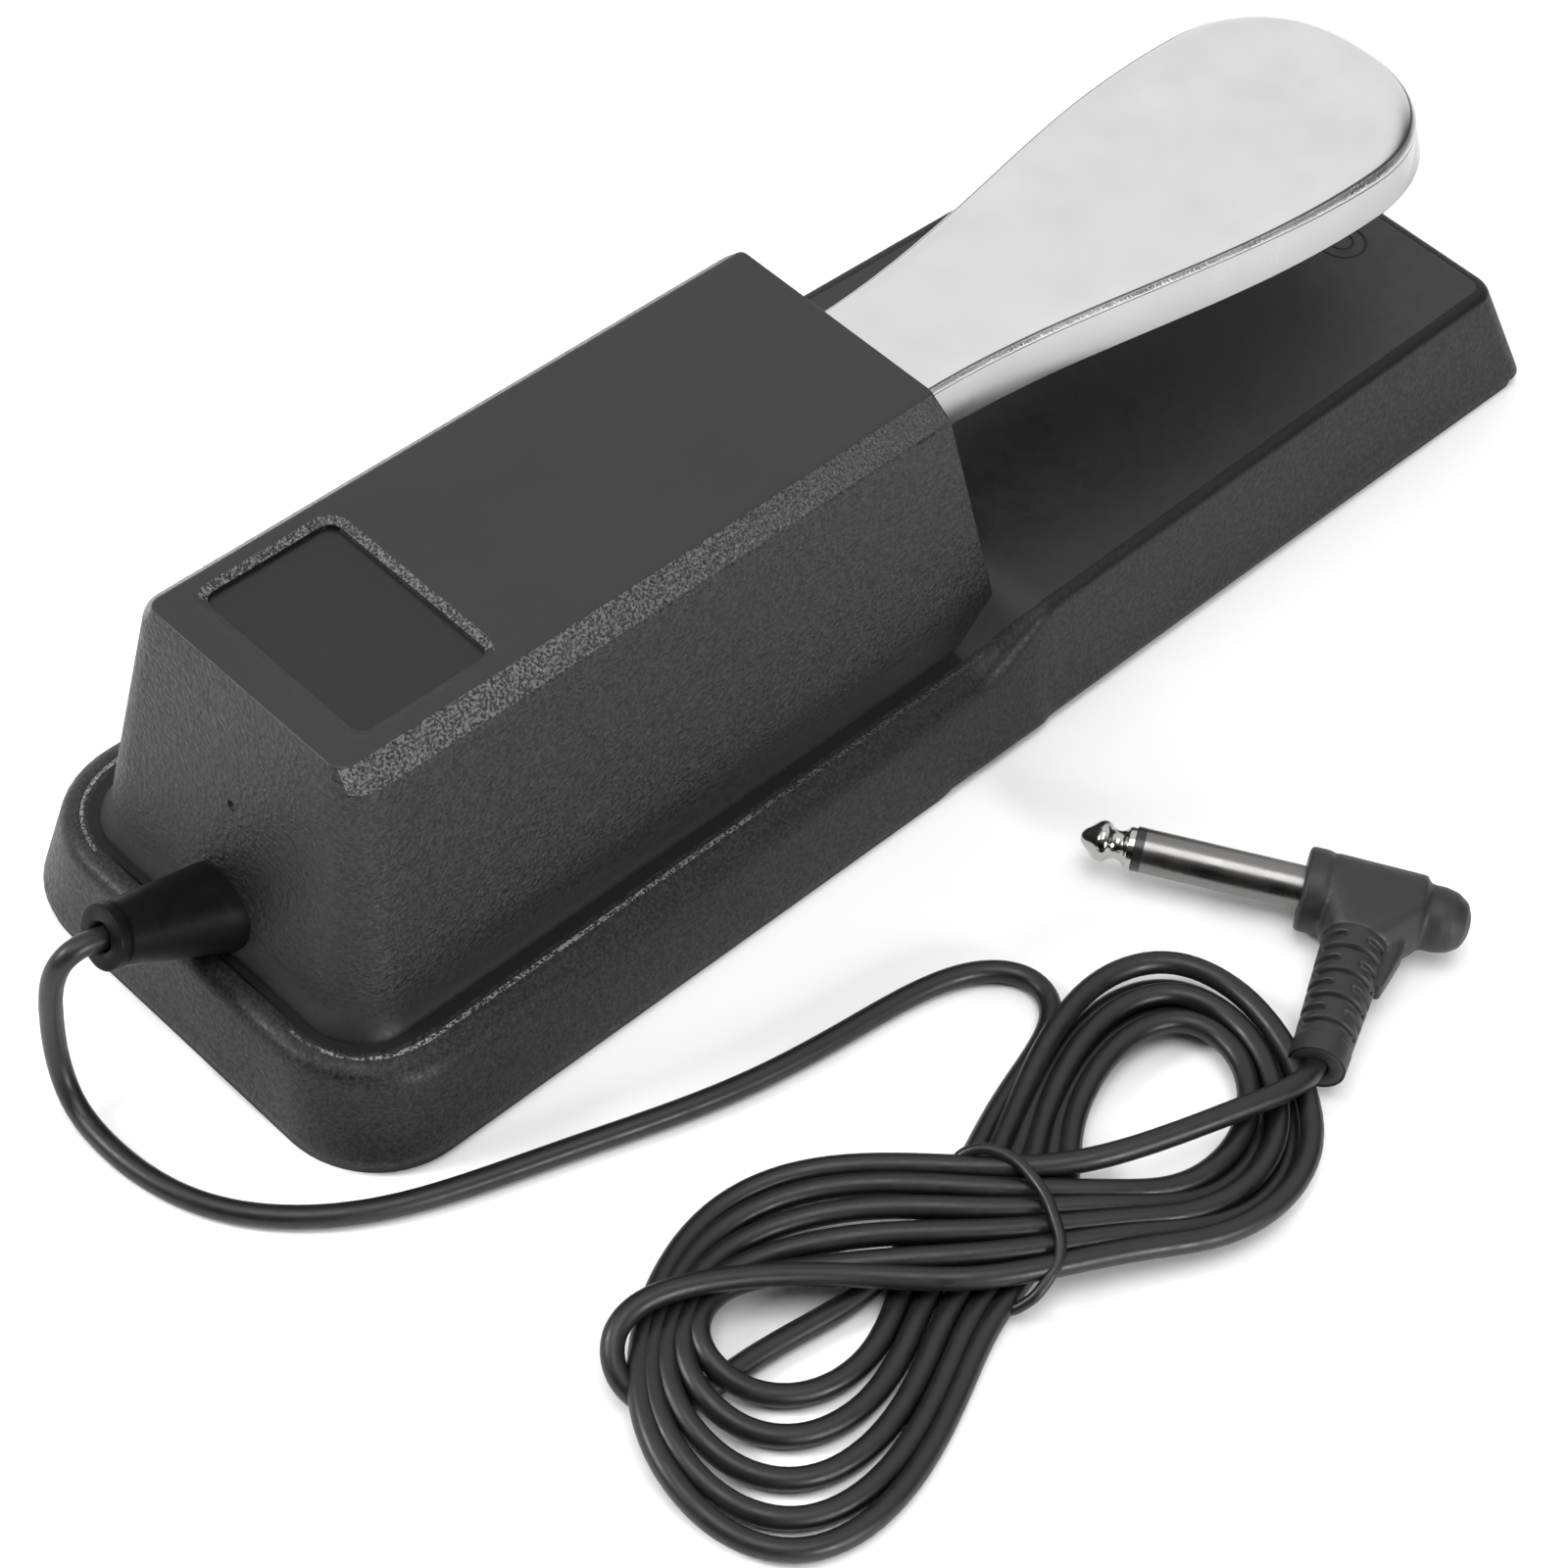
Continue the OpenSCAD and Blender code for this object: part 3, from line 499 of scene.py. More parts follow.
def cord_route():
    """The cord's control points: lead, then turns of a figure of eight that cross at the tie, then tail."""
    route = list(LEAD)
    for turn in range(TURNS):
        route.append(tuple(STEEP_AT + STEEP_STEP * turn + Vector((0, 0, STEEP_LIFT * (turn % 2)))))
        if turn == 0:
            route += STRAY_LOOP
        else:
            for inner, outer, z in zip(REAR_IN, REAR_OUT, REAR_Z):
                route.append((*between(inner, outer, REAR_SHARE[turn]), z))
        route.append(tuple(TOP_AT + TOP_STEP * (TURNS - 1 - turn)))
        if turn == TURNS - 1:
            break
        for j, (inner, outer, z) in enumerate(zip(FRONT_IN, FRONT_OUT, FRONT_Z)):
            ease = min(1, max(0, j - 0.5) / 2) * min(1, (len(FRONT_Z) - 0.5 - j) / 2)
            route.append((*between(inner, outer, FRONT_SHARE[turn]), z + FRONT_LIFT[turn] * ease))
    return route + TAIL


def add_cord():
    data = bpy.data.curves.new("cord", "CURVE")
    data.dimensions = "3D"
    data.bevel_depth = CORD_D / 2 * MM
    data.bevel_resolution = 5
    data.resolution_u = 6
    data.use_fill_caps = True
    line = data.splines.new("NURBS")
    route = cord_route()
    line.points.add(len(route) - 1)
    for point, place in zip(line.points, route):
        point.co = (*[c * MM for c in place], 1)
    line.order_u = 4
    line.use_endpoint_u = True
    data.materials.append(MAT["cord"])
    piece = bpy.data.objects.new("cord", data)
    bpy.context.collection.objects.link(piece)
    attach(piece, "housing")
    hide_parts("cord_lead", "cord_hank", "cord_tail")
    return piece


cord = add_cord()


def tie_loop():
    """The wire round the hank: an oval across it, slightly flattened on top."""
    data = bpy.data.curves.new("tie", "CURVE")
    data.dimensions = "3D"
    data.bevel_depth = TIE_D / 2 * MM
    data.bevel_resolution = 4
    data.resolution_u = 8
    line = data.splines.new("BEZIER")
    corners = [
        (-62.5, -85.3, 5.2), (-60, -86.4, 7.6), (-57.8, -90.3, 8.4), (-58, -95.3, 8.5),
        (-60.2, -100.9, 8.2), (-63.3, -105, 7.2), (-66.8, -106.2, 5.8), (-70, -105.9, 3.7),
        (-71.7, -103.8, 1.6), (-70.5, -99, 0.85), (-66.5, -91, 0.85), (-63.6, -86, 2.2),
    ]
    line.bezier_points.add(len(corners) - 1)
    for point, place in zip(line.bezier_points, corners):
        point.co = [c * MM for c in place]
        point.handle_left_type = point.handle_right_type = "AUTO"
    line.use_cyclic_u = True
    data.materials.append(MAT["tie"])
    piece = bpy.data.objects.new("tie", data)
    bpy.context.collection.objects.link(piece)
    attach(piece, "housing")
    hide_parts("cord_tie")
    return piece


tie = tie_loop()


# ---------------------------------------------------------------- boot

BOOT_PROFILE = soften(
    [
        (1.66, -4), (7, -4), (7, -2), (5, -2), (5, 0.6), (6.6, 0.8), (5.95, 4.2), (4.35, 18.2), (4.55, 18.8),
        (4.5, 20.4), (2.2, 20.4), (1.66, 19.4), (1.66, -4),
    ],
    [0.3, 0.3, 0.3, 0.3, 0.3, 1.6, 0.3, 0.3, 0.4, 0.5, 0.3],
)

points, faces = turned(BOOT_PROFILE)
boot = add_mesh("boot", placed(points, axes(BOOT_ROOT, BOOT_ALONG)), faces, "housing", ["boot"])
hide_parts("cord_boot")


# ---------------------------------------------------------------- plug

SHOULDER = Vector((8.4, -85.2, 6.2))
PLUG_HEADING = math.radians(121.8)
PLUG_ALONG = Vector((math.cos(PLUG_HEADING), math.sin(PLUG_HEADING), 0))
RELIEF_HEADING = math.radians(206.4)
RELIEF_DROOP = math.radians(0.4)
RELIEF_FOOT = SHOULDER - PLUG_ALONG * 9.5
RELIEF_ALONG = Vector(
    (
        math.cos(RELIEF_HEADING) * math.cos(RELIEF_DROOP),
        math.sin(RELIEF_HEADING) * math.cos(RELIEF_DROOP),
        -math.sin(RELIEF_DROOP),
    )
)
RELIEF_START = 8.5
RELIEF_L = 22.2
# Rings of the elbow about the jack's axis: radius, and height from the shoulder
ELBOW_RINGS = [(5.7, -16.6), (4.7, -17.3), (5.9, -4), (5.4, -3.2)]
FLANGE_RINGS = [(5.7, 0), (6.05, -0.4), (6.05, -3), (5.7, -3.4)]
BACK_RINGS = [(4.7, -15), (4.7, -19.4), (4.3, -21.3), (3.2, -22.9), (1.6, -23.6), (0.4, -23.75)]
plug_axes = axes(SHOULDER, PLUG_ALONG)
relief_axes = axes(RELIEF_FOOT, RELIEF_ALONG)


def ring_points(matrix, r, z, steps=32):
    turn = [2 * math.pi * k / steps for k in range(steps)]
    return placed([(r * math.cos(a), r * math.sin(a), z) for a in turn], matrix)


def plug_body_piece():
    """The moulded elbow: flange, body, rounded back and the root of the strain relief in one soft form."""
    mesh = bpy.data.meshes.new("plug_elbow")
    work = bmesh.new()
    groups = []
    for rings in (ELBOW_RINGS, FLANGE_RINGS, BACK_RINGS):
        groups.append([point for r, z in rings for point in ring_points(plug_axes, r, z)])
    groups[0] += ring_points(relief_axes, 4.9, RELIEF_START + 0.2)
    sideways = Vector((0, 0, 1)).cross(RELIEF_ALONG).normalized()
    gusset = []
    for foot, out in ((8, 3.6), (8, 6.6), (15.2, 2), (15.2, 5.2)):
        at = RELIEF_FOOT + RELIEF_ALONG * foot + sideways * out
        gusset += [at + Vector((0, 0, 1.5)), at - Vector((0, 0, 1.5))]
    at = SHOULDER - PLUG_ALONG * 15.5 + RELIEF_ALONG * 3
    groups.append(gusset + [at + Vector((0, 0, 3)), at - Vector((0, 0, 3))])
    for group in groups:
        corners = [work.verts.new([c * MM for c in p]) for p in group]
        made = bmesh.ops.convex_hull(work, input=corners)
        bmesh.ops.delete(work, geom=made["geom_interior"], context="VERTS")
    work.to_mesh(mesh)
    work.free()
    mesh.materials.append(MAT["plug"])
    piece = bpy.data.objects.new("plug_elbow", mesh)
    bpy.context.collection.objects.link(piece)
    remesh = piece.modifiers.new("form", "REMESH")
    remesh.mode = "VOXEL"
    remesh.voxel_size = 0.36 * MM
    remesh.use_smooth_shade = True
    smooth = piece.modifiers.new("soft", "SMOOTH")
    smooth.iterations = 3
    bpy.context.view_layer.update()
    shape = bpy.data.meshes.new_from_object(piece.evaluated_get(bpy.context.evaluated_depsgraph_get()))
    piece.modifiers.clear()
    piece.data = shape
    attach(piece, "housing")
    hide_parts("plug_body")
    return piece


plug_elbow = plug_body_piece()


def smooth_step(value, low, high):
    t = min(1, max(0, (value - low) / (high - low)))
    return t * t * (3 - 2 * t)


def relief_piece():
    """The strain relief: a tapered sleeve with pairs of slots that alternate round it, and a plain collar."""
    slots = 8
    pitch = 2.2
    slot_w = 0.9
    slot_deep = 1.0
    collar = 3.2
    steps = 80
    levels = 130
    rings = []
    low = RELIEF_START - 0.6
    high = RELIEF_START + RELIEF_L
    for i in range(levels + 1):
        z = low + (high - low) * i / levels
        base = 4.75 - 0.85 * (z - low) / (high - low)
        if z > high - collar:
            base += 0.12
        ring = []
        for k in range(steps):
            a = 2 * math.pi * k / steps
            deep = 0.0
            for s in range(slots):
                middle = RELIEF_START + 1.6 + pitch * s
                across = 1 - smooth_step(abs(z - middle), slot_w / 2 - 0.2, slot_w / 2 + 0.12)
                around = smooth_step(abs(math.cos(a - math.pi / 2 * (s % 2))), 0.3, 0.42)
                deep = max(deep, across * around)
            r = base - slot_deep * deep
            ring.append((r * math.cos(a), r * math.sin(a), z))
        rings.append(ring)
    for r, z in [(3.8, 0), (3.55, 0.22), (3.2, 0.3), (2, 0.3), (1.62, 0.1), (1.6, -2)]:
        turn = [2 * math.pi * k / steps for k in range(steps)]
        rings.append([(r * math.cos(a), r * math.sin(a), high + z - 0.3) for a in turn])
    points, faces = loft(rings)
    piece = add_mesh("plug_strain_relief", placed(points, relief_axes), faces, "housing", ["plug"])
    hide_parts("plug_relief")
    return piece


plug_strain_relief = relief_piece()

RING_END = 23.9
TIP_PROFILE = soften(
    [
        (0.01, RING_END), (2.95, RING_END), (2.95, RING_END + 0.95), (2.25, RING_END + 1.5),
        (1.95, RING_END + 2.4), (2.2, RING_END + 3.2), (2.85, RING_END + 3.9), (3.02, RING_END + 4.6),
        (2.7, RING_END + 5.4), (1.75, RING_END + 6.4), (1.1, RING_END + 7.2), (0.55, RING_END + 7.6),
        (0.01, RING_END + 7.6),
    ],
    [0.1, 0.15, 0.3, 0.4, 0.4, 0.3, 0.3, 0.35, 0.3, 0.2, 0.2],
)

points, faces = turned(TIP_PROFILE)
plug_point = add_mesh("plug_point", placed(points, plug_axes), faces, "housing", ["nickel"])
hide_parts("plug_tip")


# ---------------------------------------------------------------- housing: skirt, rim and platform

REAR_X = -122.5
FRONT_X = 122.5
RAMP_X = -6
STEP_X = 8
RIM_Z = 17
PLATFORM_Z = 22.8
PLATFORM_DROP = 0.9
PLATFORM_FRONT = 112.5
MAT_T = 1.5


def top_z(x):
    """Height of the housing's flat top outside the hump: the rim, then a ramp, then the platform."""
    if x < STEP_X:
        return RIM_Z + (PLATFORM_Z - RIM_Z) * smooth_step(x, RAMP_X, STEP_X + 1)
    return PLATFORM_Z - PLATFORM_DROP * (x - STEP_X) / (PLATFORM_FRONT - STEP_X)


def foot_hw(x):
    """Half width at the floor, narrower in front of the hump."""
    narrow = 0.5 * smooth_step(x, 6.6, 9)
    return 38.2 - narrow - 1.0 * max(0, (x - 10) / (FRONT_X - 10))


def edge_hw(x):
    """Half width at the top edge."""
    narrow = 0.3 * smooth_step(x, 6.6, 9)
    return 35.2 - narrow - 2.0 * max(0, (x - 9) / (PLATFORM_FRONT - 9))


def edge_roll(x):
    """How far the rounding of the top edge reaches inward: broad along the rim, tight along the platform."""
    return 3.2 + 1.4 * smooth_step(x, -120, -106) - 2.8 * smooth_step(x, RAMP_X, STEP_X + 3)


ROLL_STEPS = 12
RIDGE = 17  # the strip of the skirt, counted from the floor, that lies along the rim's ridge
RIDGE_HIGHLIGHT_X = (REAR_X + 4, -48)
FLANK_X = RAMP_X + 3
FLANK_Y = -14
SKIRT_LOOKS = ["skirt", "ridge_highlight", "ridge_faint_highlight", "crease", "satin"]


def rim_look(ring, x, y):
    """The look of a strip of the skirt: a painted highlight on the rim's ridge, weaker towards the front,
    and painted shade on the rim's top inside the ridge, back from the ramp.
    """
    if ring == RIDGE and RIDGE_HIGHLIGHT_X[0] < x < RIDGE_HIGHLIGHT_X[1]:
        return "ridge_highlight"
    if ring == RIDGE and x < FLANK_X and y < FLANK_Y:
        return "ridge_faint_highlight"
    if ring > RIDGE + 1:
        return "crease" if x < RAMP_X else "satin"
    return "skirt"


def skirt_piece():
    low = mirrored(half_outline(REAR_X, FRONT_X, foot_hw, 15.2, 4, 160))
    top = mirrored(half_outline(REAR_X + 1.4, PLATFORM_FRONT, edge_hw, 16.2, 4, 160))
    count = len(top)
    rows = []
    for j in range(count):
        bottom = Vector((*low[j], MAT_T))
        edge = Vector((*top[j], top_z(top[j][0])))
        before, after = Vector(top[j - 1]), Vector(top[(j + 1) % count])
        run = (after - before).normalized()
        inward = Vector((-run.y, run.x))
        ahead = Vector(top[j]) + inward
        level = Vector((inward.x, inward.y, top_z(ahead.x) - edge.z)).normalized()
        wall = (edge - bottom).normalized()
        tuck = Vector((inward.x, inward.y, 0))
        roll = edge_roll(edge.x)
        row = [bottom + tuck * 0.9, bottom + tuck * 0.25, bottom + wall * 0.3, bottom + wall * 1.4]
        row += [bottom.lerp(edge, t) for t in (0.25, 0.45, 0.65)]
        for k in range(ROLL_STEPS + 1):
            t = k / ROLL_STEPS
            row.append(edge - wall * roll * 0.8 * (1 - t) ** 2 + level * roll * t * t)
        row.append(edge + level * (roll + 0.4))
        rows.append(row)
    rings = [[tuple(rows[j][i]) for j in range(count)] for i in range(len(rows[0]))]
    points, faces = loft(rings)
    flat_fill(faces, (len(rings) - 1) * count, count)
    looks = [SKIRT_LOOKS.index(rim_look(face[0] // count, *points[face[0]][:2])) for face in faces]
    return add_mesh("housing_skirt", points, faces, "housing", SKIRT_LOOKS, looks)


skirt = skirt_piece()


# ---------------------------------------------------------------- housing: hump

FOOT_Z = 13.0
SHOULDER_Z = 56.7
TOP_Z = 60.5
HUMP = {
    # height: rear x, front x, half width, rear corner radius
    FOOT_Z: (-115.8, 6.9, 28.2, 8.5),
    SHOULDER_Z: (-110.8, -4.3, 21.9, 5.2),
    TOP_Z: (-110.3, -5.3, 18.5, 2.0),
}
FRONT_R = 0.9
WALL = 2.3
FLARE_H = 5.0
FLARE_W = 1.1


def hump_state(z, inset=0.0):
    """The hump's wall at a height, flared at its foot: (z, rear x, front x, half width, rear radius)."""
    t = (z - FOOT_Z) / (SHOULDER_Z - FOOT_Z)
    rear, front, hw, r = between(HUMP[FOOT_Z], HUMP[SHOULDER_Z], t)
    flare = FLARE_W * max(0.0, 1 - (z - RIM_Z) / FLARE_H) ** 2 if z >= RIM_Z else FLARE_W
    rear -= flare
    hw += flare
    return (z, rear + inset, front - inset, hw - inset, max(1.0, r + flare * 0.5 - inset * 0.6))


def hump_ring(state):
    z, rear, front, hw, r = state
    half = half_outline(rear, front, lambda x: hw, r, FRONT_R, 60, 10)
    return [(x, y, z) for x, y in mirrored(half)]


def hump_piece():
    walls = [hump_state(z) for z in (RIM_Z - 3, RIM_Z, 17.6, 18.3, 19.2, 20.2, 21.2, 22.2, 26, 34, 42, 50)]
    shoulder_low = (SHOULDER_Z, *HUMP[SHOULDER_Z])
    shoulder_top = (TOP_Z, *HUMP[TOP_Z])
    plateau = (TOP_Z, -109.7, -6.1, 16.5, 1.4)
    crown = soften([walls[-1], shoulder_low, shoulder_top, plateau], [0.55, 0.45], 4)
    states = walls + crown[1:]
    rings = [hump_ring(s) for s in states]
    count = len(rings[0])
    points, faces = loft(rings)
    looks = []  # 0 the walls, 1 the spark-grained edges, 2 the top, 3 the inside
    for face in faces:
        ring, spot = face[0] // count, face[0] % count
        x, y, z = rings[ring][spot]
        band = 56.9 < states[ring][0] and states[ring + 1][0] < 60.35
        beside = abs(y) > states[ring][3] - 2.2 and x > states[ring][1] + 0.6
        front = x > states[ring][2] - 0.5
        if band and beside and not front:
            looks.append(1)
        elif z > 60.3:
            looks.append(2)
        else:
            looks.append(0)
    flat_fill(faces, (len(rings) - 1) * count, count)
    looks += [2] * (len(faces) - len(looks))
    start = len(points)
    inner_states = [hump_state(z, WALL) for z in (RIM_Z - 3, 30, 45, 54.4)]
    inner = [hump_ring(s) for s in inner_states] + [hump_ring((58.2, -107.9, -7.6, 17.2, 1.6))]
    more_points, more_faces = loft(inner)
    points += more_points
    faces += [tuple(i + start for i in face) for face in more_faces]
    flat_fill(faces, start + (len(inner) - 1) * count, count)
    for j in range(count):
        faces.append((j, (j + 1) % count, start + (j + 1) % count, start + j))
    looks += [3] * (len(faces) - len(looks))
    return add_mesh("housing_hump", points, faces, None, ["wall", "sparkle", "satin", "inside"], looks)


def prism(name, outline_rings, looks):
    """A closed tool through level or upright rings."""
    points, faces = loft(outline_rings)
    count = len(outline_rings[0])
    faces.append(tuple(range(count)))
    faces.append(tuple(range(len(points) - 1, len(points) - 1 - count, -1)))
    return add_mesh(name, points, faces, None, looks)


def rounded_box_ring(x0, x1, hw, r, z):
    half = half_outline(x0, x1, lambda x: hw, r, r, 4, 8)
    return [(x, y, z) for x, y in mirrored(half)]


RECESS_X = (-105.0, -81.4)
RECESS_HW = 16.3
RECESS_R = 3.0
SLOT_HW = 13.0
SLOT_Z = (35.0, 51.6)
PIT_AT = Vector((-112.7, -0.6, 40.5))
PIT_R = 0.8


def recess_tool():
    """The recess for a label: a bevel, a short wall, and a smooth floor.

    Only the bevel's far sides have the spark grain, as a painted highlight where the light falls on them.
    """
    x0, x1 = RECESS_X
    levels = [(59.3, -1.15), (59.95, -1.05), (60.42, 0.0), (60.52, 0.2), (62.0, 0.2)]
    rings = [rounded_box_ring(x0 - g, x1 + g, RECESS_HW + g, RECESS_R + g, z) for z, g in levels]
    tool = prism("recess_tool", rings, ["floor", "sparkle"])
    for face in tool.data.polygons:
        x, y, z = face.center / MM
        # The far sides' spark grain is a painted highlight
        far_side = (x - (x0 + x1) / 2) / (x1 - x0) + y / (2 * RECESS_HW) > 0
        if far_side and 60 < z < 61:
            face.material_index = 1
    return tool


def slot_tool():
    low, high = SLOT_Z
    middle = (low + high) / 2
    rings = []
    for x, grow in ((-14.0, 0.0), (-2.6, 0.0), (6.0, 3.0)):
        half_h = (high - low) / 2 + grow
        outline = mirrored(half_outline(-half_h, half_h, lambda u: SLOT_HW + grow, 1.2, 1.2, 4, 6))
        rings.append([(x, y, middle + u) for u, y in outline])
    return prism("slot_tool", rings, ["inside"])


def sharpen(piece, angle):
    piece.data.set_sharp_from_angle(angle=math.radians(angle))


def pit_tool():
    """The small pit in the rear wall above the cord's boot."""
    levels = 12
    sides = 16
    rings = []
    for k in range(1, levels):
        level = -PIT_R * math.cos(math.pi * k / levels)
        circle = arc(0, 0, PIT_R * math.sin(math.pi * k / levels), 0, 360 - 360 / sides, sides - 1)
        rings.append([tuple(PIT_AT + Vector((x, y, level))) for x, y in circle])
    return prism("pit_tool", rings, ["inside"])


hump = hump_piece()
cut(hump, recess_tool())
cut(hump, slot_tool())
cut(hump, pit_tool())
sharpen(hump, 35)
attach(hump, "housing")
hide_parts("upper_shell")


MARKS_AT = (101.7, -10)


def mould_marks():
    """Two ejector rings just raised on the platform under the lever's tip."""
    points, faces = [], []
    for r in (2.0, 4.0):
        profile = [(r - 0.3, -0.1), (r - 0.12, 0.1), (r + 0.12, 0.1), (r + 0.3, -0.1), (r - 0.3, -0.1)]
        circle, ring_faces = turned(profile, 40)
        faces += [tuple(i + len(points) for i in face) for face in ring_faces]
        points += placed(circle, Matrix.Translation((*MARKS_AT, top_z(MARKS_AT[0]))))
    return add_mesh("mould_marks", points, faces, "housing", ["inside"])


mould_marks()


# ---------------------------------------------------------------- lever

LEVER_Z = 49.8
LEVER_T = 1.8
LEVER_DEEP = 8.1  # 0.6 deeper than the CAD's lever
TAIL_X = -71
WIDE_X = 88
TIP_X = 112
ARM_HW = 10.8
PADDLE_HW = 21.1
TIP_POWER = 2.3
LEVER_ROLL = (2.6, 4.6)  # edge rounding along the arm and at the tip
LEVER_FLARE = 1.6  # how far the wall leans out towards its lower edge
LEVER_ROLL_STEPS = 12


def lever_outline():
    side = []
    for i in range(24):
        side.append((TAIL_X + (0 - TAIL_X) * i / 24, -ARM_HW))
    for i in range(60):
        x = WIDE_X * i / 60
        side.append((x, -(ARM_HW + (PADDLE_HW - ARM_HW) / 2 * (1 - math.cos(math.pi * x / WIDE_X)))))
    for i in range(41):
        a = math.pi / 2 * i / 40
        x = WIDE_X + (TIP_X - WIDE_X) * math.sin(a) ** (2 / TIP_POWER)
        side.append((x, -PADDLE_HW * math.cos(a) ** (2 / TIP_POWER)))
    side[-1] = (TIP_X, 0.0)
    return [(TAIL_X, 0.0)] + side


def inset_outline(half, insets):
    """The half outline moved in along its normals by each point's inset, with its ends on the middle line."""
    out = [(half[0][0], 0.0), (half[1][0], half[1][1] + insets[1])]
    for i in range(2, len(half) - 1):
        run = (Vector(half[i + 1]) - Vector(half[i - 1])).normalized()
        x, y = half[i]
        out.append((x - run.y * insets[i], min(0.0, y + run.x * insets[i])))
    out.append((half[-1][0] - insets[-1], 0.0))
    return out


LEVER_LOOKS = ["chrome", "chrome_wall", "chrome_line", "chrome_reflection_band"]
LOW_LINE = 8  # strips of the lever, counted from its hollow side, that carry painted dark reflection lines
HIGH_LINE = 13


def lever_look(ring):
    """The look of a strip of the lever: below the rolled edge, painted reflections, two dark lines with a
    grained band between, over a darker painted wall.
    """
    if ring < LOW_LINE:
        return "chrome_wall"
    if ring in (LOW_LINE, HIGH_LINE):
        return "chrome_line"
    return "chrome_reflection_band" if ring < HIGH_LINE else "chrome"


def lever_piece():
    """The pressed pedal: a flat top, a broad rolled edge, and a wall that leans out a little, open below."""
    half = lever_outline()
    top = LEVER_Z
    bottom = LEVER_Z - LEVER_DEEP
    rolls = [LEVER_ROLL[0] + (LEVER_ROLL[1] - LEVER_ROLL[0]) * smooth_step(x, 55, 108) for x, y in half]
    rows = []
    for inset, z in ((7, top - LEVER_T), (LEVER_T + 3, top - LEVER_T), (LEVER_T + 1.2, top - LEVER_T - 0.8)):
        rows.append([(inset, z)] * len(half))
    for inset, z in ((LEVER_T, bottom + 0.5), (LEVER_T - 0.4, bottom), (0.4, bottom), (0.1, bottom + 0.15)):
        rows.append([(inset - LEVER_FLARE, z)] * len(half))
    rows.append([(-LEVER_FLARE, bottom + 0.5)] * len(half))
    for k in range(LEVER_ROLL_STEPS + 1):
        a = math.pi / 2 * k / LEVER_ROLL_STEPS
        rows.append([(roll * (1 - math.cos(a)), top - 0.62 * roll * (1 - math.sin(a))) for roll in rolls])
    rows.append([(roll + 0.5, top) for roll in rolls])
    rings = []
    for row in rows:
        outline = inset_outline(half, [inset for inset, z in row])
        rings.append(mirrored([(x, y, z) for (x, y), (inset, z) in zip(outline, row)]))
    points, faces = loft(rings)
    count = len(rings[0])
    flat_fill(faces, (len(rings) - 1) * count, count)
    flat_fill(faces, 0, count)
    looks = [LEVER_LOOKS.index(lever_look(face[0] // count)) for face in faces]
    return add_mesh("lever", points, faces, "pedal", LEVER_LOOKS, looks)


lever = lever_piece()
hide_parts("pedal_lever")


# ---------------------------------------------------------------- return spring

SPRING_X = -12
SPRING_D = 12
SPRING_WIRE = 1.2
SPRING_TURNS = 8
SPRING_STEPS = 24  # in each turn
SPRING_SIDES = 12  # round the wire
SPRING_Z = (5.9, 47.3)  # the wire's middle line, from its first to its last turn


def spring_piece():
    """The return spring, a coil of wire standing between the housing and the lever."""
    low, high = SPRING_Z
    r = (SPRING_D - SPRING_WIRE) / 2
    steps = SPRING_STEPS * SPRING_TURNS
    rings = []
    for i in range(steps + 1):
        turn = math.tau * i / SPRING_STEPS
        outward = Vector((math.cos(turn), math.sin(turn), 0))
        middle = Vector((SPRING_X, 0, low + (high - low) * i / steps)) + outward * r
        section = arc(0, 0, SPRING_WIRE / 2, 0, 360 - 360 / SPRING_SIDES, SPRING_SIDES - 1)
        rings.append([tuple(middle + outward * u + Vector((0, 0, v))) for u, v in section])
    points, faces = loft(rings)
    faces.append(tuple(range(SPRING_SIDES)))
    faces.append(tuple(range(len(points) - 1, len(points) - 1 - SPRING_SIDES, -1)))
    return add_mesh("return_coil", points, faces, None, ["spring"])


spring = spring_piece()
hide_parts("return_spring")
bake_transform(spring)


# ---------------------------------------------------------------- stage and light


def add_area(name, place, aim, size, power):
    data = bpy.data.lights.new(name, "AREA")
    data.shape = "RECTANGLE"
    data.size, data.size_y = size
    data.energy = power
    lamp = bpy.data.objects.new(name, data)
    bpy.context.collection.objects.link(lamp)
    lamp.location = place
    lamp.rotation_mode = "QUATERNION"
    lamp.rotation_quaternion = (Vector(aim) - Vector(place)).to_track_quat("-Z", "Y")


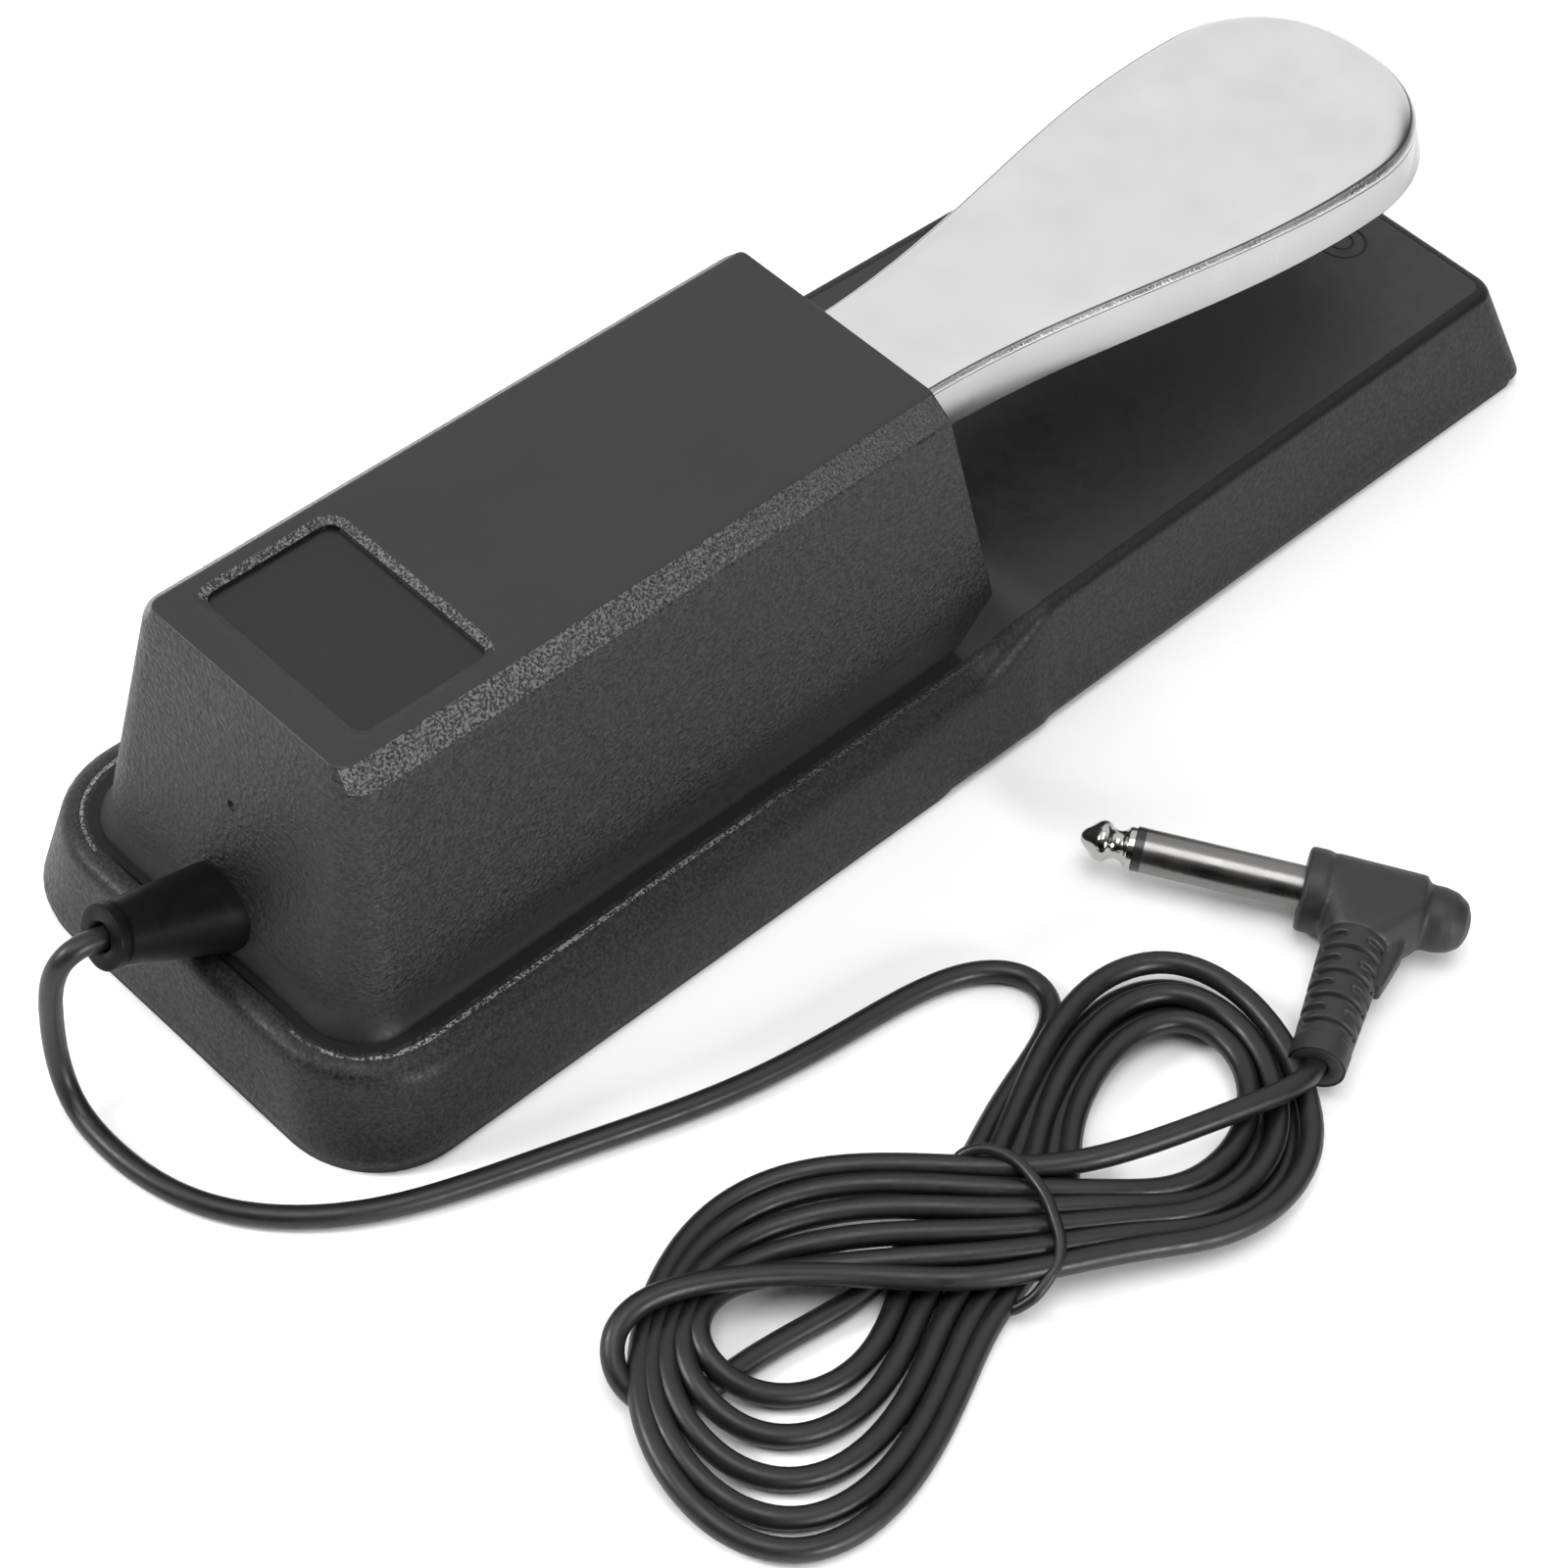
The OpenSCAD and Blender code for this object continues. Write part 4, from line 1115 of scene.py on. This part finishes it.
def add_stage():
    mesh = bpy.data.meshes.new("floor")
    reach = 4.0
    corners = [(-reach, -reach, 0), (reach, -reach, 0), (reach, reach, 0), (-reach, reach, 0)]
    mesh.from_pydata(corners, [], [(0, 1, 2, 3)])
    s = Surface("floor_paper", (0.95, 0.95, 0.95), 0.9, specular=0.2)
    s.bump(s.noise(0.002, 3), 0.00002)
    mesh.materials.append(s.material)
    floor = bpy.data.objects.new("floor", mesh)
    floor.location.z = -0.0001
    bpy.context.collection.objects.link(floor)


def add_world():
    """A bright room overhead and behind the pedal, dark low down and on the side the camera stands on."""
    world = bpy.data.worlds.new("studio")
    world.use_nodes = True
    nodes, links = world.node_tree.nodes, world.node_tree.links
    back = nodes["Background"]
    back.inputs["Color"].default_value = (1, 1, 1, 1)
    place = nodes.new("ShaderNodeTexCoord").outputs["Generated"]

    def along(direction, low_in, high_in, low, high):
        facing = nodes.new("ShaderNodeVectorMath")
        facing.operation = "DOT_PRODUCT"
        facing.inputs[1].default_value = Vector(direction).normalized()
        links.new(place, facing.inputs[0])
        spread = nodes.new("ShaderNodeMapRange")
        spread.interpolation_type = "SMOOTHSTEP"
        for socket, value in zip(spread.inputs[1:5], (low_in, high_in, low, high)):
            socket.default_value = value
        links.new(facing.outputs["Value"], spread.inputs["Value"])
        return spread.outputs["Result"]

    def combined(operation, first, second):
        node = nodes.new("ShaderNodeMath")
        node.operation = operation
        links.new(first, node.inputs[0])
        links.new(second, node.inputs[1])
        return node.outputs["Value"]

    overhead = along((0, 0, 1), 0.38, 0.66, 0.05, 1.05)
    backdrop = along((0.5, 0.85, 0), 0.35, 0.7, 0.0, 1.0)
    camera_side = along((-0.7, -0.6, 0.45), 0.4, 0.75, 1.0, 0.12)
    bright = combined("MAXIMUM", overhead, backdrop)
    links.new(combined("MULTIPLY", bright, camera_side), back.inputs["Strength"])
    bpy.context.scene.world = world


add_stage()
add_world()
add_area("overhead", (-0.3, -0.25, 1.4), (0, 0, 0), (0.9, 0.9), 11)
add_area("rear_box", (-0.7, 0.5, 0.6), (-0.2, 0.04, 0), (0.3, 0.3), 8)
add_area("spark", (-0.1, -1.0, 0.3), (-0.08, 0, 0.03), (0.3, 0.3), 7)
bpy.context.scene.view_settings.view_transform = "Standard"
